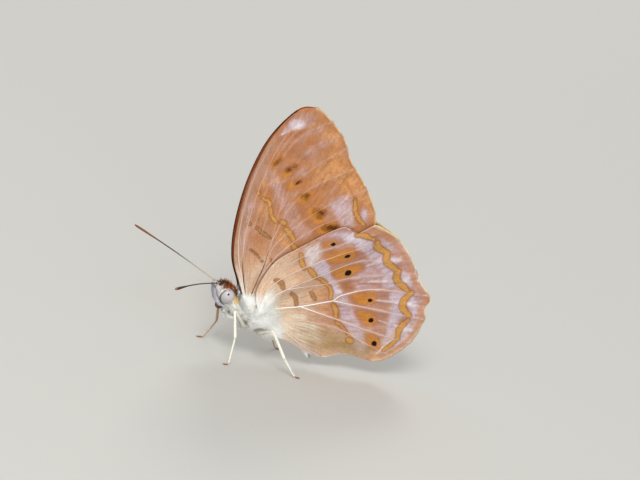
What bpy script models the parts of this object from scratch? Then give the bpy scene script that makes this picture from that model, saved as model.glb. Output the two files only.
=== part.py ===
"""A common yeoman butterfly, Cirrochroa tyche, life size, standing with its wings closed.

The head points along -X, its left side faces -Y and the four walking feet stand on z = 0.
Sizes are in millimetres in the working frame of the animal, whose origin lies on the floor
below the front feet; MIDDLE_X moves the whole to the middle of its own length.
"""

import math

import bmesh
import bpy
import numpy as np
from mathutils import Vector
from mathutils.geometry import delaunay_2d_cdt

MM = 0.001
MIDDLE_X = 9.85  # from the feelers' tips to the hindwing's edge, halfway
GAP = 0.30  # between neighbours
LEFT, RIGHT = -1.0, 1.0  # sign of Y

# Wings
MEMBRANE = 0.50  # thickness
VEIN_OUT, VEIN_IN = 0.13, 0.05  # how far a vein stands out of the outer and the inner face
VEIN_HALF = 0.34  # half the width of a vein's ridge
VEIN_STOP = 0.55  # a vein ends this far from the wing's edge
EDGE_STEP, VEIN_STEP, FIELD_STEP = 1.15, 1.25, 2.5  # spacing of the points
PAIR_Y = GAP / 2 + VEIN_IN + MEMBRANE / 2 + 0.01  # middle of a wing that meets its twin
OVER = MEMBRANE + VEIN_OUT + VEIN_IN + GAP  # from the forewing's middle to the hindwing's
SPLAY = 0.45  # how far the forewings' front edges part

# Thorax: an egg along an axis that rises towards the head
THORAX = Vector((4.65, 0.0, 7.42))
PITCH = math.radians(24.0)
THORAX_LONG, THORAX_WIDE, THORAX_DEEP = 4.0, 2.1, 2.6  # half sizes
COLLAR, COLLAR_HALF = Vector((0.75, 0.0, 7.95)), (0.9, 1.05, 0.95)

# Abdomen: x, z and radius along its middle line, curved down at the tip
ABDOMEN = (
    (8.62, 5.95, 1.20),
    (10.8, 5.50, 1.42),
    (13.0, 4.65, 1.18),
    (15.1, 3.2, 0.82),
    (16.35, 1.75, 0.35),
)
ABDOMEN_RINGS = 7

# Head and what it carries
HEAD, HEAD_HALF = Vector((-1.1, 0.0, 10.35)), (1.8, 1.25, 1.72)
HEAD_TURN = math.radians(-20.0)
BROW, BROW_HALF = Vector((-2.5, 0.0, 11.3)), (1.0, 0.95, 0.78)
EYE, EYE_HALF = Vector((-1.15, 0.72, 10.1)), (1.25, 1.05, 1.3)
EYE_BACK = 0.75  # the eye's flat back
PALP = (
    (-1.15, 0.74, 7.95),
    (-2.05, 0.70, 8.3),
    (-2.95, 0.58, 9.35),
    (-3.5, 0.52, 10.55),
    (-3.85, 0.5, 11.35),
)
COIL, COIL_R, COIL_TUBE = Vector((-1.6, 0.0, 8.2)), 0.68, 0.21  # the rolled tongue's outer turn
ANTENNA_ROOT = Vector((-3.5, 0.5, 11.95))
ANTENNA_TIP = Vector((-14.9, 12.0, 14.4))
ANTENNA_R, CLUB_R = 0.25, 0.42

# Legs: half thickness at the hip, the knee, the ankle and the foot
LEG_R = (0.42, 0.34, 0.27, 0.25)
TOE_R = 0.22
HIP_LONG = 0.7  # from the thorax out to the hip's bend
BEND_REACH, BEND_POINTS = 0.7, 5  # how far from its corner a bend begins, and its points
FOOT_LIES = 1.1  # length of the foot that lies on the floor
FOOT_LIFT = 0.14  # its middle line above the floor, so that the floor cuts a flat on it

# Joints of the walking legs: hip as a station and an angle on the thorax, then knee, ankle and foot
LEGS = {
    "midleg_left": ((0.2, -42.0), (-0.7, -4.5, 9.45), (0.67, -5.0, 4.95), (0.6, -5.15, 0.0)),
    "midleg_right": ((0.2, 42.0), (-0.4, 4.2, 8.4), (0.85, 4.6, 3.35), (-1.1, 4.4, 0.0)),
    "hindleg_left": ((-0.5, -50.0), (6.7, -5.0, 7.2), (10.0, -5.35, 2.9), (13.0, -5.8, 0.0)),
    "hindleg_right": ((-0.5, 50.0), (7.6, 4.5, 6.6), (10.6, 4.8, 3.2), (13.0, 4.8, 0.0)),
}

# Outlines as (x, z), each run from one end to the other
FW_COSTA = ((1.75, 10.1), (0.2, 12.6), (-2.1, 16.6), (-3.45, 22.5), (-3.75, 30.5), (-2.6, 37.8), (0.4, 43.3))
FW_TERMEN = ((3.3, 44.35), (5.5, 43.5), (9.6, 40.4), (12.2, 36.7), (15.6, 33.5), (18.6, 29.7), (19.7, 26.9))
FW_DORSUM = ((18.9, 25.9), (11.6, 17.6), (3.9, 9.75))
FW_ROOT = ((2.9, 9.45),)
HW_COSTA = ((3.75, 9.6), (3.05, 12.4), (4.6, 17.4), (8.0, 20.8), (14.0, 25.6), (16.7, 24.9), (19.4, 26.9))
HW_TERMEN = (
    (22.4, 26.1),
    (25.3, 24.7),
    (28.9, 21.4),
    (31.3, 18.3),
    (34.1, 15.6),
    (33.8, 13.7),
    (34.4, 11.6),
    (33.4, 7.3),
    (30.3, 3.9),
)
HW_INNER = ((27.6, 2.9), (22.3, 3.3), (18.3, 2.1), (12.6, 4.0), (8.3, 5.3), (5.7, 7.1), (4.55, 8.45))

# Main veins as (x, z), from the root outwards
FW_VEINS = {
    "subcosta": (
        (1.7, 10.5),
        (0.3, 13.6),
        (-1.2, 16.6),
        (-2.6, 21.0),
        (-3.2, 26.0),
        (-3.2, 31.5),
        (-2.2, 37.0),
    ),
    "radius": ((1.9, 10.5), (0.9, 13.4), (-0.4, 17.2), (-1.5, 22.0), (-1.8, 29.5), (-0.8, 36.9), (1.2, 42.4)),
    "radius fork": ((-1.8, 30.2), (-0.8, 34.3), (0.7, 38.7), (3.1, 43.0)),
    "media 1": ((-0.5, 22.6), (-0.5, 28.7), (0.4, 35.0), (2.1, 39.0), (5.0, 41.7), (7.1, 42.7)),
    "media 2": ((1.2, 21.6), (1.4, 29.0), (4.1, 36.7), (7.3, 39.8), (9.1, 40.7)),
    "media 3": ((3.4, 20.8), (3.0, 26.6), (4.1, 31.6), (8.2, 36.5), (10.8, 38.9)),
    "cubitus": ((2.3, 10.4), (2.7, 12.4), (3.3, 16.5), (3.4, 20.8)),
    "cubitus 1": ((3.4, 20.8), (4.5, 26.4), (6.8, 30.8), (13.0, 35.5)),
    "cubitus 2": ((3.3, 17.3), (4.8, 21.4), (10.1, 27.9), (16.3, 32.5)),
    "cell end": ((-1.5, 21.4), (-0.5, 22.6), (1.2, 21.6), (3.4, 20.8)),
    "anal vein": ((2.6, 10.3), (3.2, 14.4), (6.3, 20.3), (11.8, 25.8), (18.6, 28.7)),
}
HW_VEINS = {
    "subcosta": ((3.7, 10.9), (4.4, 14.4), (9.1, 19.5), (14.9, 23.2), (20.5, 25.6)),
    "radius": ((4.0, 10.6), (5.7, 13.8), (10.4, 17.8), (18.6, 22.6), (24.6, 24.3)),
    "media 1": ((4.9, 10.4), (8.3, 13.3), (13.9, 16.9), (19.2, 20.0), (27.6, 21.6)),
    "media 2": ((8.3, 13.3), (14.7, 14.9), (19.8, 17.1), (29.9, 19.6)),
    "media 3": ((17.3, 12.3), (18.8, 13.7), (24.0, 15.6), (33.4, 16.1)),
    "cubitus": ((4.6, 9.5), (8.3, 9.5), (12.0, 10.3), (17.3, 12.3)),
    "cubitus 1": ((17.3, 12.3), (23.9, 12.1), (34.0, 11.8)),
    "cubitus 2": ((12.0, 10.3), (19.5, 9.1), (27.3, 7.8), (33.5, 7.2)),
    "anal 1": ((5.2, 8.6), (9.7, 8.0), (19.2, 7.7), (25.2, 5.9), (30.2, 4.4)),
    "anal 3": ((6.2, 7.9), (9.5, 6.5), (13.4, 4.4), (17.9, 2.3)),
}


def clear_scene():
    for item in list(bpy.data.objects):
        bpy.data.objects.remove(item, do_unlink=True)


def material(name, colour, roughness, metallic=0.0):
    made = bpy.data.materials.new(name)
    made.use_nodes = True
    shader = made.node_tree.nodes["Principled BSDF"]
    shader.inputs["Base Color"].default_value = (*colour, 1.0)
    shader.inputs["Roughness"].default_value = roughness
    shader.inputs["Metallic"].default_value = metallic
    return made


def make_object(name, shape, finish):
    """Turns a bmesh in millimetres into an object in metres, with its faces pointing out."""
    shape.normal_update()
    bmesh.ops.recalc_face_normals(shape, faces=shape.faces)
    for vertex in shape.verts:
        vertex.co = (vertex.co - Vector((MIDDLE_X, 0.0, 0.0))) * MM
    mesh = bpy.data.meshes.new(name)
    shape.to_mesh(mesh)
    shape.free()
    mesh.materials.append(finish)
    mesh.shade_smooth()
    mesh.set_sharp_from_angle(angle=math.radians(40.0))
    made = bpy.data.objects.new(name, mesh)
    bpy.context.scene.collection.objects.link(made)
    return made


def smooth(points, step, closed=False):
    """A Catmull-Rom curve through the points, cut into stretches of about one step."""
    given = np.array(points, float)
    if closed:
        given = np.vstack((given[-1], given, given[:2]))
    else:
        given = np.vstack((2 * given[0] - given[1], given, 2 * given[-1] - given[-2]))
    fine = []
    for a, b, c, d in zip(given, given[1:], given[2:], given[3:]):
        t = np.linspace(0.0, 1.0, 24, endpoint=False)[:, None]
        fine.append(
            0.5 * (2 * b + (c - a) * t + (2 * a - 5 * b + 4 * c - d) * t**2 + (3 * b - a - 3 * c + d) * t**3)
        )
    fine = np.vstack(fine + [given[-2]])
    run = np.concatenate(([0.0], np.cumsum(np.linalg.norm(np.diff(fine, axis=0), axis=1))))
    count = max(2, round(run[-1] / step))
    stops = np.linspace(0.0, run[-1], count + 1)
    even = np.column_stack([np.interp(stops, run, fine[:, k]) for k in range(fine.shape[1])])
    return even[:-1] if closed else even


def distance_to(points, line, signed=False):
    """Distance from each point to an open line; signed is positive to the right of its run."""
    start, end = line[:-1], line[1:]
    along = end - start
    gap = points[:, None, :] - start[None]
    share = np.clip((gap * along).sum(2) / (along**2).sum(1), 0.0, 1.0)
    away = gap - share[..., None] * along
    length = np.linalg.norm(away, axis=2)
    nearest = length.argmin(1)
    rows = np.arange(len(points))
    if not signed:
        return length[rows, nearest]
    turn = gap[rows, nearest, 0] * along[nearest, 1] - gap[rows, nearest, 1] * along[nearest, 0]
    return length[rows, nearest] * np.sign(turn)


def egg_reach(points):
    """How far a point of the (x, z) plane lies from the thorax's middle, in half sizes of it."""
    x, z = points[:, 0] - THORAX.x, points[:, 1] - THORAX.z
    along = -x * math.cos(PITCH) + z * math.sin(PITCH)
    across = x * math.sin(PITCH) + z * math.cos(PITCH)
    return np.hypot(along / THORAX_LONG, across / THORAX_DEEP)


def body_bulge(points):
    """How far a wing stands out beside the thorax and the abdomen to pass them with a gap."""
    room = MEMBRANE / 2 + VEIN_IN + GAP - PAIR_Y
    thorax = (THORAX_WIDE + room) * np.exp(-((egg_reach(points) / 1.15) ** 2.4))
    axis = smooth([row[:2] for row in ABDOMEN], 0.5)
    girth = np.interp(np.linspace(0.0, 1.0, len(axis)), np.linspace(0.0, 1.0, 5), [r[2] for r in ABDOMEN])
    gaps = np.linalg.norm(points[:, None] - axis[None], axis=2)
    beside = ((girth + room + 0.12) * np.exp(-((gaps / (1.45 * girth + 0.25)) ** 2.4))).max(1)
    return (thorax**6 + beside**6) ** (1 / 6)


def step_down(value, start, end):
    """One before start, nought after end, and smooth between."""
    t = np.clip((value - start) / (end - start), 0.0, 1.0)
    return 1.0 - t * t * (3.0 - 2.0 * t)


def forewing_middle(points):
    """Close to its twin at the tip, and parting from it along the front edge."""
    from_tip = np.linalg.norm(points - np.array(FW_TERMEN[0]), axis=1)
    from_costa = distance_to(points, smooth(FW_COSTA, 1.0))
    splay = SPLAY * (1.0 - step_down(from_tip, 3.0, 20.0)) * step_down(from_costa, 0.0, 8.0)
    return PAIR_Y + splay + body_bulge(points)


def hindwing_middle(points):
    """Outside the forewing where the two overlap, and back beside its twin beyond it."""
    dorsum = smooth(FW_DORSUM, 1.0)
    beyond = -distance_to(points, dorsum, signed=True)
    from_root = np.linalg.norm(points - np.array(HW_COSTA[0]), axis=1)
    width = np.clip(1.0 + 0.28 * from_root, 1.0, 5.5)
    return forewing_middle(points) + OVER * step_down(beyond, 0.45, 0.45 + width)


def vein_lines(outline, veins):
    """Each vein's ridge line, shortened where it comes near the wing's edge."""
    rim = np.vstack((outline, outline[:1]))
    lines = []
    for vein in veins.values():
        line = smooth(vein, VEIN_STEP)
        inside = distance_to(line, rim) > VEIN_STOP
        lines.append(line[inside])
    return [line for line in lines if len(line) > 1]


def wing_points(outline, lines):
    """Points and edges of the flat pattern: the rim, the ridges, their feet and an even field."""
    points = [outline]
    count = len(outline)
    edges = []
    rim = np.vstack((outline, outline[:1]))
    for index, line in enumerate(lines):
        edges += [(count + k, count + k + 1) for k in range(len(line) - 1)]
        points.append(line)
        count += len(line)
        others = [other for k, other in enumerate(lines) if k != index]
        along = np.gradient(line, axis=0)
        along /= np.linalg.norm(along, axis=1)[:, None]
        for side in (-1.0, 1.0):
            feet = line + side * VEIN_HALF * np.column_stack((-along[:, 1], along[:, 0]))
            free = distance_to(feet, rim) > 0.2
            for other in others:
                free &= distance_to(feet, other) > 1.25 * VEIN_HALF
            points.append(feet[free])
            count += int(free.sum())
    low, high = outline.min(0), outline.max(0)
    rows = int((high[1] - low[1]) / FIELD_STEP) + 1
    columns = int((high[0] - low[0]) / FIELD_STEP) + 2
    field = np.array(
        [
            (low[0] + (i + 0.5 * (j % 2)) * FIELD_STEP, low[1] + j * FIELD_STEP)
            for j in range(rows)
            for i in range(columns)
        ]
    )
    clear = distance_to(field, rim) > 0.9
    for line in lines:
        clear &= distance_to(field, line) > 1.1
    points.append(field[clear])
    return np.vstack(points), edges


def wing(name, outline_runs, veins, middle, side, finish):
    """A thin sheet with raised veins: one flat pattern of triangles, carried by both faces."""
    outline = smooth([point for run in outline_runs for point in run], EDGE_STEP, closed=True)
    lines = vein_lines(outline, veins)
    points, edges = wing_points(outline, lines)
    flat, _, triangles, *_ = delaunay_2d_cdt(
        [Vector(point) for point in points], edges, [list(range(len(outline)))], 1, 1e-4
    )
    flat = np.array([tuple(vertex) for vertex in flat])
    to_vein = np.min([distance_to(flat, line) for line in lines], axis=0)
    ridge = np.clip(1.0 - to_vein / VEIN_HALF, 0.0, 1.0)
    sheet = middle(flat)
    faces = {
        "outer": sheet + MEMBRANE / 2 + VEIN_OUT * ridge,
        "inner": sheet - MEMBRANE / 2 - VEIN_IN * ridge,
    }
    shape = bmesh.new()
    made = {
        key: [shape.verts.new((x, side * y, z)) for (x, z), y in zip(flat, depth)]
        for key, depth in faces.items()
    }
    used = {}
    for triangle in triangles:
        for row in made.values():
            shape.faces.new([row[k] for k in triangle])
        for a, b in zip(triangle, triangle[1:] + triangle[:1]):
            used[frozenset((a, b))] = used.get(frozenset((a, b)), 0) + 1
    for edge, times in used.items():
        if times == 1:
            a, b = edge
            shape.faces.new((made["outer"][a], made["outer"][b], made["inner"][b], made["inner"][a]))
    loose = [vertex for vertex in shape.verts if not vertex.link_faces]
    bmesh.ops.delete(shape, geom=loose, context="VERTS")
    bmesh.ops.triangulate(shape, faces=[face for face in shape.faces if len(face.verts) > 3])
    return make_object(name, shape, finish)


def tube(name, path, radii, finish, sides=8):
    """A round piece along a path: a poly curve with a bevel, filled caps and its own thickness."""
    curve = bpy.data.curves.new(name, "CURVE")
    curve.dimensions = "3D"
    curve.bevel_depth = MM
    curve.bevel_resolution = sides // 2 - 2
    curve.use_fill_caps = True
    spline = curve.splines.new("POLY")
    spline.points.add(len(path) - 1)
    for point, place, radius in zip(spline.points, path, radii):
        point.co = ((place[0] - MIDDLE_X) * MM, place[1] * MM, place[2] * MM, 1.0)
        point.radius = radius
    curve.materials.append(finish)
    made = bpy.data.objects.new(name, curve)
    bpy.context.scene.collection.objects.link(made)
    return made


def mesh_of(made):
    """The same object with its curve turned into a mesh, so that its floor side can be cut."""
    graph = bpy.context.evaluated_depsgraph_get()
    mesh = bpy.data.meshes.new_from_object(made.evaluated_get(graph), depsgraph=graph)
    name = made.name
    bpy.data.objects.remove(made, do_unlink=True)
    made = bpy.data.objects.new(name, mesh)
    bpy.context.scene.collection.objects.link(made)
    return made


def cut_at_floor(made):
    """Takes off what lies under the floor and closes the cut with a flat."""
    shape = bmesh.new()
    shape.from_mesh(made.data)
    bmesh.ops.remove_doubles(shape, verts=shape.verts, dist=1e-7)
    everything = shape.verts[:] + shape.edges[:] + shape.faces[:]
    cut = bmesh.ops.bisect_plane(
        shape, geom=everything, dist=1e-8, plane_co=(0, 0, 0), plane_no=(0, 0, -1), clear_outer=True
    )
    rim = [item for item in cut["geom_cut"] if isinstance(item, bmesh.types.BMEdge)]
    bmesh.ops.holes_fill(shape, edges=rim, sides=0)
    bmesh.ops.triangulate(shape, faces=shape.faces)
    bmesh.ops.recalc_face_normals(shape, faces=shape.faces)
    shape.to_mesh(made.data)
    shape.free()


def loft(name, rings, finish):
    """A closed body through rings of points of equal count, with a fan at each end."""
    shape = bmesh.new()
    made = [[shape.verts.new(point) for point in ring] for ring in rings]
    for before, after in zip(made, made[1:]):
        for k in range(len(before)):
            n = (k + 1) % len(before)
            shape.faces.new((before[k], before[n], after[n], after[k]))
    for ring in (made[0], made[-1]):
        centre = sum((vertex.co for vertex in ring), Vector()) / len(ring)
        hub = shape.verts.new(centre)
        for k in range(len(ring)):
            shape.faces.new((ring[k], ring[(k + 1) % len(ring)], hub))
    return make_object(name, shape, finish)


def thorax_at(along, angle, lift=0.0):
    """A point of the thorax: along its axis from -1, the rear, to 1, the neck, and round it.

    The angle runs from 0, straight down, to a quarter turn at the side of +Y. The egg is a
    little deeper and wider in its middle third than a true ellipse.
    """
    swell = math.sqrt(max(0.0, 1.0 - abs(along) ** 2.3))
    axis = Vector((-math.cos(PITCH), 0.0, math.sin(PITCH)))
    up = Vector((math.sin(PITCH), 0.0, math.cos(PITCH)))
    wide, deep = THORAX_WIDE * swell + lift, THORAX_DEEP * swell + lift
    out = Vector((0.0, wide * math.sin(angle), 0.0)) - up * deep * math.cos(angle)
    return THORAX + axis * along * THORAX_LONG + out


def make_thorax(finish):
    stations = [math.sin(t) * 0.985 for t in np.linspace(-1.35, 1.35, 15)]
    angles = np.linspace(0.0, math.tau, 24, endpoint=False)
    thorax = loft("thorax", [[thorax_at(s, a) for a in angles] for s in stations], finish)
    shape = bmesh.new()
    ball(shape, COLLAR, COLLAR_HALF, 0.0, 20, 12)
    join(thorax, make_object("collar", shape, finish))


def make_abdomen(finish):
    """Segment by segment: each ring swells in its middle and is drawn in at its ends."""
    rows = smooth(ABDOMEN, 0.35)
    angles = np.linspace(0.0, math.tau, 20, endpoint=False)
    rings = []
    for index, (x, z, radius) in enumerate(rows):
        before, after = rows[max(index - 1, 0)], rows[min(index + 1, len(rows) - 1)]
        along = Vector((after[0] - before[0], 0.0, after[1] - before[1])).normalized()
        up = Vector((-along.z, 0.0, along.x))
        beat = abs(math.sin(math.pi * ABDOMEN_RINGS * index / (len(rows) - 1)))
        swell = radius * (0.93 + 0.07 * beat)
        centre, wide = Vector((x, 0.0, z)), Vector((0.0, swell, 0.0))
        rings.append([centre + up * swell * math.cos(a) + wide * math.sin(a) for a in angles])
    loft("abdomen", rings, finish)


def ball(shape, centre, half, turn=0.0, segments=24, rings=14):
    """An ellipsoid of the given half sizes, turned about Y."""
    made = bmesh.ops.create_uvsphere(shape, u_segments=segments, v_segments=rings, radius=1.0)["verts"]
    c, s = math.cos(turn), math.sin(turn)
    for vertex in made:
        x, y, z = (a * b for a, b in zip(vertex.co, half))
        vertex.co = Vector((c * x + s * z, y, c * z - s * x)) + centre
    return made


def join(kept, other):
    """Unites two closed bodies and leaves the first one's object."""
    union = kept.modifiers.new("union", "BOOLEAN")
    union.operation = "UNION"
    union.object = other
    graph = bpy.context.evaluated_depsgraph_get()
    mesh = bpy.data.meshes.new_from_object(kept.evaluated_get(graph), depsgraph=graph)
    kept.modifiers.clear()
    kept.data = mesh
    bpy.data.objects.remove(other, do_unlink=True)


def make_head(finish):
    """The head between the eyes, with a flat-floored hollow for each eye."""
    shape = bmesh.new()
    ball(shape, HEAD, HEAD_HALF, HEAD_TURN, 28, 16)
    head = make_object("head", shape, finish)
    shape = bmesh.new()
    ball(shape, BROW, BROW_HALF, HEAD_TURN, 20, 12)
    join(head, make_object("brow", shape, finish))
    for side in (LEFT, RIGHT):
        tool = bmesh.new()
        made = bmesh.ops.create_cone(
            tool, cap_ends=True, segments=24, radius1=1.0, radius2=1.0, depth=2.0
        )["verts"]
        for vertex in made:
            x, y, z = vertex.co
            depth = EYE_BACK - GAP + 1.0 + z
            vertex.co = (
                EYE.x + x * (EYE_HALF[0] + GAP),
                side * depth,
                EYE.z + y * (EYE_HALF[2] + GAP),
            )
        cutter = make_object(f"eye_hollow_{side:.0f}", tool, finish)
        cutter.hide_render = True
        cutter.display_type = "WIRE"
        cut = head.modifiers.new("eye hollow", "BOOLEAN")
        cut.operation = "DIFFERENCE"
        cut.object = cutter


def make_eye(name, side, finish):
    """A dome with a flat back."""
    shape = bmesh.new()
    centre = Vector((EYE.x, side * EYE.y, EYE.z))
    ball(shape, centre, EYE_HALF, 0.0, 20, 14)
    everything = shape.verts[:] + shape.edges[:] + shape.faces[:]
    cut = bmesh.ops.bisect_plane(
        shape,
        geom=everything,
        dist=1e-5,
        plane_co=(0, side * EYE_BACK, 0),
        plane_no=(0, -side, 0),
        clear_outer=True,
    )
    rim = [item for item in cut["geom_cut"] if isinstance(item, bmesh.types.BMEdge)]
    bmesh.ops.holes_fill(shape, edges=rim, sides=0)
    bmesh.ops.triangulate(shape, faces=[face for face in shape.faces if len(face.verts) > 4])
    return make_object(name, shape, finish)


def make_palp(name, side, finish):
    """Three joints that rise in front of the face, close beside each other."""
    path = smooth([(x, side * y, z) for x, y, z in PALP], 0.42)
    share = np.linspace(0.0, 1.0, len(path))
    radii = np.interp(share, (0.0, 0.25, 0.7, 1.0), (0.26, 0.32, 0.30, 0.16))
    tube(name, path, radii, finish, 8)


def make_proboscis(finish):
    """The coiled tongue, shown as its outer turn."""
    turns = np.linspace(math.radians(160.0), math.radians(365.0), 16)
    path = [COIL + Vector((math.cos(t), 0.0, math.sin(t))) * COIL_R for t in turns]
    tube("proboscis", path, [COIL_TUBE] * len(path), finish, 8)


def make_antenna(name, side, finish):
    """A thin shaft with a slender club, bent a little down at the end."""
    root = Vector((ANTENNA_ROOT.x, side * ANTENNA_ROOT.y, ANTENNA_ROOT.z))
    tip = Vector((ANTENNA_TIP.x, side * ANTENNA_TIP.y, ANTENNA_TIP.z))
    share = np.linspace(0.0, 1.0, 15)
    path = [root.lerp(tip, t) + Vector((0.0, side * -0.35, 0.55)) * math.sin(math.pi * t) for t in share]
    radii = np.interp(share, (0.0, 0.82, 0.9, 0.97, 1.0), (ANTENNA_R, ANTENNA_R, CLUB_R, CLUB_R, 0.2))
    tube(name, path, radii, finish, 8)


def rounded(corners, radii):
    """The path from corner to corner with each inner one rounded off by a quadratic curve."""
    path, thickness = [corners[0]], [radii[0]]
    for before, corner, after, radius in zip(corners, corners[1:], corners[2:], radii[1:]):
        start = corner.lerp(before, min(0.45, BEND_REACH / (corner - before).length))
        end = corner.lerp(after, min(0.45, BEND_REACH / (corner - after).length))
        for t in np.linspace(0.0, 1.0, BEND_POINTS):
            path.append(start.lerp(corner, t).lerp(corner.lerp(end, t), t))
            thickness.append(radius)
    return path + [corners[-1]], thickness + [radii[-1]]


def make_leg(name, joints, finish):
    """Hip, knee, ankle and foot; the foot's end lies along the floor."""
    station, angle = joints[0][0], math.radians(joints[0][1])
    root, hip = thorax_at(station, angle, GAP), thorax_at(station, angle, GAP + HIP_LONG)
    knee, ankle, foot = (Vector(joint) for joint in joints[1:])
    lies = foot - ankle
    lies.z = 0.0
    if lies.length < 0.3:
        lies = Vector((-1.0, 0.0, 0.0))
    lies = lies.normalized() * FOOT_LIES
    heel = foot - lies * 0.5
    toe = foot + lies * 0.5
    heel.z = toe.z = FOOT_LIFT
    path, radii = rounded((root, hip, knee, ankle, heel, toe), (LEG_R[0], *LEG_R, TOE_R))
    cut_at_floor(mesh_of(tube(name, path, radii, finish, 8)))


def make_foreleg(name, side, finish):
    """The small foreleg, folded against the front of the thorax."""
    lift = GAP + 0.3
    angle = side * math.radians(30.0)
    joints = [tuple(thorax_at(station, angle, lift)) for station in (0.12, 0.40, 0.64)]
    joints += [(0.05, side * 0.72, 6.72), (-0.62, side * 0.62, 7.35)]
    path = smooth(joints, 0.4)
    radii = np.interp(np.linspace(0, 1, len(path)), (0.0, 0.5, 1.0), (0.2, 0.27, 0.28))
    tube(name, path, radii, finish, 8)


def main():
    clear_scene()
    wings = material("wing scales", (0.55, 0.32, 0.19), 0.65)
    fur = material("thorax fur", (0.75, 0.73, 0.68), 0.8)
    skin = material("abdomen scales", (0.62, 0.52, 0.40), 0.75)
    face = material("head scales", (0.35, 0.25, 0.20), 0.75)
    eye = material("eye", (0.36, 0.37, 0.38), 0.25)
    dark = material("dark horn", (0.05, 0.03, 0.02), 0.45)
    leg = material("leg scales", (0.80, 0.76, 0.66), 0.6)
    make_thorax(fur)
    make_abdomen(skin)
    make_head(face)
    make_proboscis(dark)
    for word, side in (("left", LEFT), ("right", RIGHT)):
        make_eye(f"eye_{word}", side, eye)
        make_palp(f"palp_{word}", side, face)
        make_antenna(f"antenna_{word}", side, dark)
        make_foreleg(f"foreleg_{word}", side, leg)
        wing(
            f"forewing_{word}",
            (FW_COSTA, FW_TERMEN, FW_DORSUM, FW_ROOT),
            FW_VEINS,
            forewing_middle,
            side,
            wings,
        )
        wing(f"hindwing_{word}", (HW_COSTA, HW_TERMEN, HW_INNER), HW_VEINS, hindwing_middle, side, wings)
    for name, joints in LEGS.items():
        make_leg(name, joints, leg)


main()
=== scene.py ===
"""A common yeoman butterfly at rest, dressed for a museum case.

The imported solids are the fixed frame. Every place below is in millimetres of the animal's working
frame: its head points along -X, its left side faces -Y and the floor is z = 0. MIDDLE_X is taken
from X when a mesh is made, which puts the piece where the solids are.
"""

import math

import bpy
import numpy as np
from mathutils import Matrix, Vector


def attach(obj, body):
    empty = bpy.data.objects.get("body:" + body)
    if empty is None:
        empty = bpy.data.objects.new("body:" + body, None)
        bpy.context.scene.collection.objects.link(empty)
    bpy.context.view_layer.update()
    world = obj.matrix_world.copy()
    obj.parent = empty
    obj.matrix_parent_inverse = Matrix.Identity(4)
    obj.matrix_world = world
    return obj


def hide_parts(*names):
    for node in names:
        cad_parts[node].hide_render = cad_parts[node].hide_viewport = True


bl_info = {
    "name": "Common yeoman butterfly",
    "version": (1, 0, 0),
    "blender": (4, 5, 0),
    "location": "3D View > Sidebar > Yeoman",
    "description": "Scales, fur, veins, eyes and legs of a butterfly standing with closed wings",
    "category": "Object",
}

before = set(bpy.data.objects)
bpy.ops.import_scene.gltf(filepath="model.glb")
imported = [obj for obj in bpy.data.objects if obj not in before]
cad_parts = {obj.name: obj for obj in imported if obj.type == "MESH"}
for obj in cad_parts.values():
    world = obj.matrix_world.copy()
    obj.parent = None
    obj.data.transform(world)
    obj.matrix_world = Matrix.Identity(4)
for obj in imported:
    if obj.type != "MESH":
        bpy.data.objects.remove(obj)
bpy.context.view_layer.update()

MM = 0.001
MIDDLE_X = 9.85  # middle of the animal's own length
SEED = 11
LEFT, RIGHT = -1.0, 1.0  # sign of Y
SIDES = (("left", LEFT), ("right", RIGHT))
WINGS = ("forewing", "hindwing")

# The view: where the camera stands round the animal, and what it looks at
AZIMUTH, ELEVATION, ROLL = (math.radians(angle) for angle in (25.0, 19.3, 19.1))
AIM = Vector((1.75, 0.0, 22.3)) * MM
DISTANCE = 577.2 * MM
LENS, SENSOR = 200.0, 36.0

# Wings: the solids' sizes, which set where the sheets lie
PAIR_Y = 0.46  # middle of a forewing that meets its twin
OVER = 0.98  # from the forewing's middle to the hindwing's
SPLAY = 0.45
CLOSER = 0.20  # each sheet moves this far into the gap where the two wings overlap
TIGHT = 0.22  # and the forewings this far towards each other where they meet alone
INSET = 0.15  # the outer edge of a sheet gives way to the fringe
SOFT, SOFTER = 0.60, 0.85  # half the width over which an area of colour ends, and a halo

# Thorax of the solids, which the wings pass with a gap
THORAX = np.array((4.65, 7.42))
PITCH = math.radians(24.0)
THORAX_LONG, THORAX_WIDE, THORAX_DEEP = 4.0, 2.1, 2.6
ABDOMEN = (
    (8.62, 5.95, 1.2), (10.8, 5.5, 1.42), (13.0, 4.65, 1.18), (15.1, 3.2, 0.82), (16.35, 1.75, 0.35),
)
BESIDE = 0.16  # room between a body and the middle of a wing, less PAIR_Y

# Outlines as (x, z), in one round: front edge, outer edge, hind edge, root
FW_COSTA = (
    (1.75, 10.1), (0.2, 12.6), (-2.1, 16.6), (-3.45, 22.5), (-3.75, 30.5), (-2.6, 37.8), (0.4, 43.3),
)
FW_TERMEN = (
    (3.3, 44.35), (5.5, 43.5), (9.6, 40.4), (12.2, 36.7), (15.6, 33.5), (18.6, 29.7), (19.7, 26.9),
)
FW_DORSUM = ((18.9, 25.9), (11.6, 17.6), (3.9, 9.75))
FW_ROOT = ((2.9, 9.45),)
HW_COSTA = ((3.75, 9.6), (3.05, 12.4), (4.6, 17.4), (8.0, 20.8), (14.0, 25.6), (16.7, 24.9), (19.4, 26.9))
HW_TERMEN = (
    (22.4, 26.1), (25.3, 24.7), (28.9, 21.4), (31.3, 18.3), (34.1, 15.6), (33.8, 13.7), (34.4, 11.6),
    (33.4, 7.3), (30.3, 3.9),
)
HW_INNER = ((27.6, 2.9), (22.3, 3.3), (18.3, 2.1), (12.6, 4.0), (8.3, 5.3), (5.7, 7.1), (4.55, 8.45))

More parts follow.
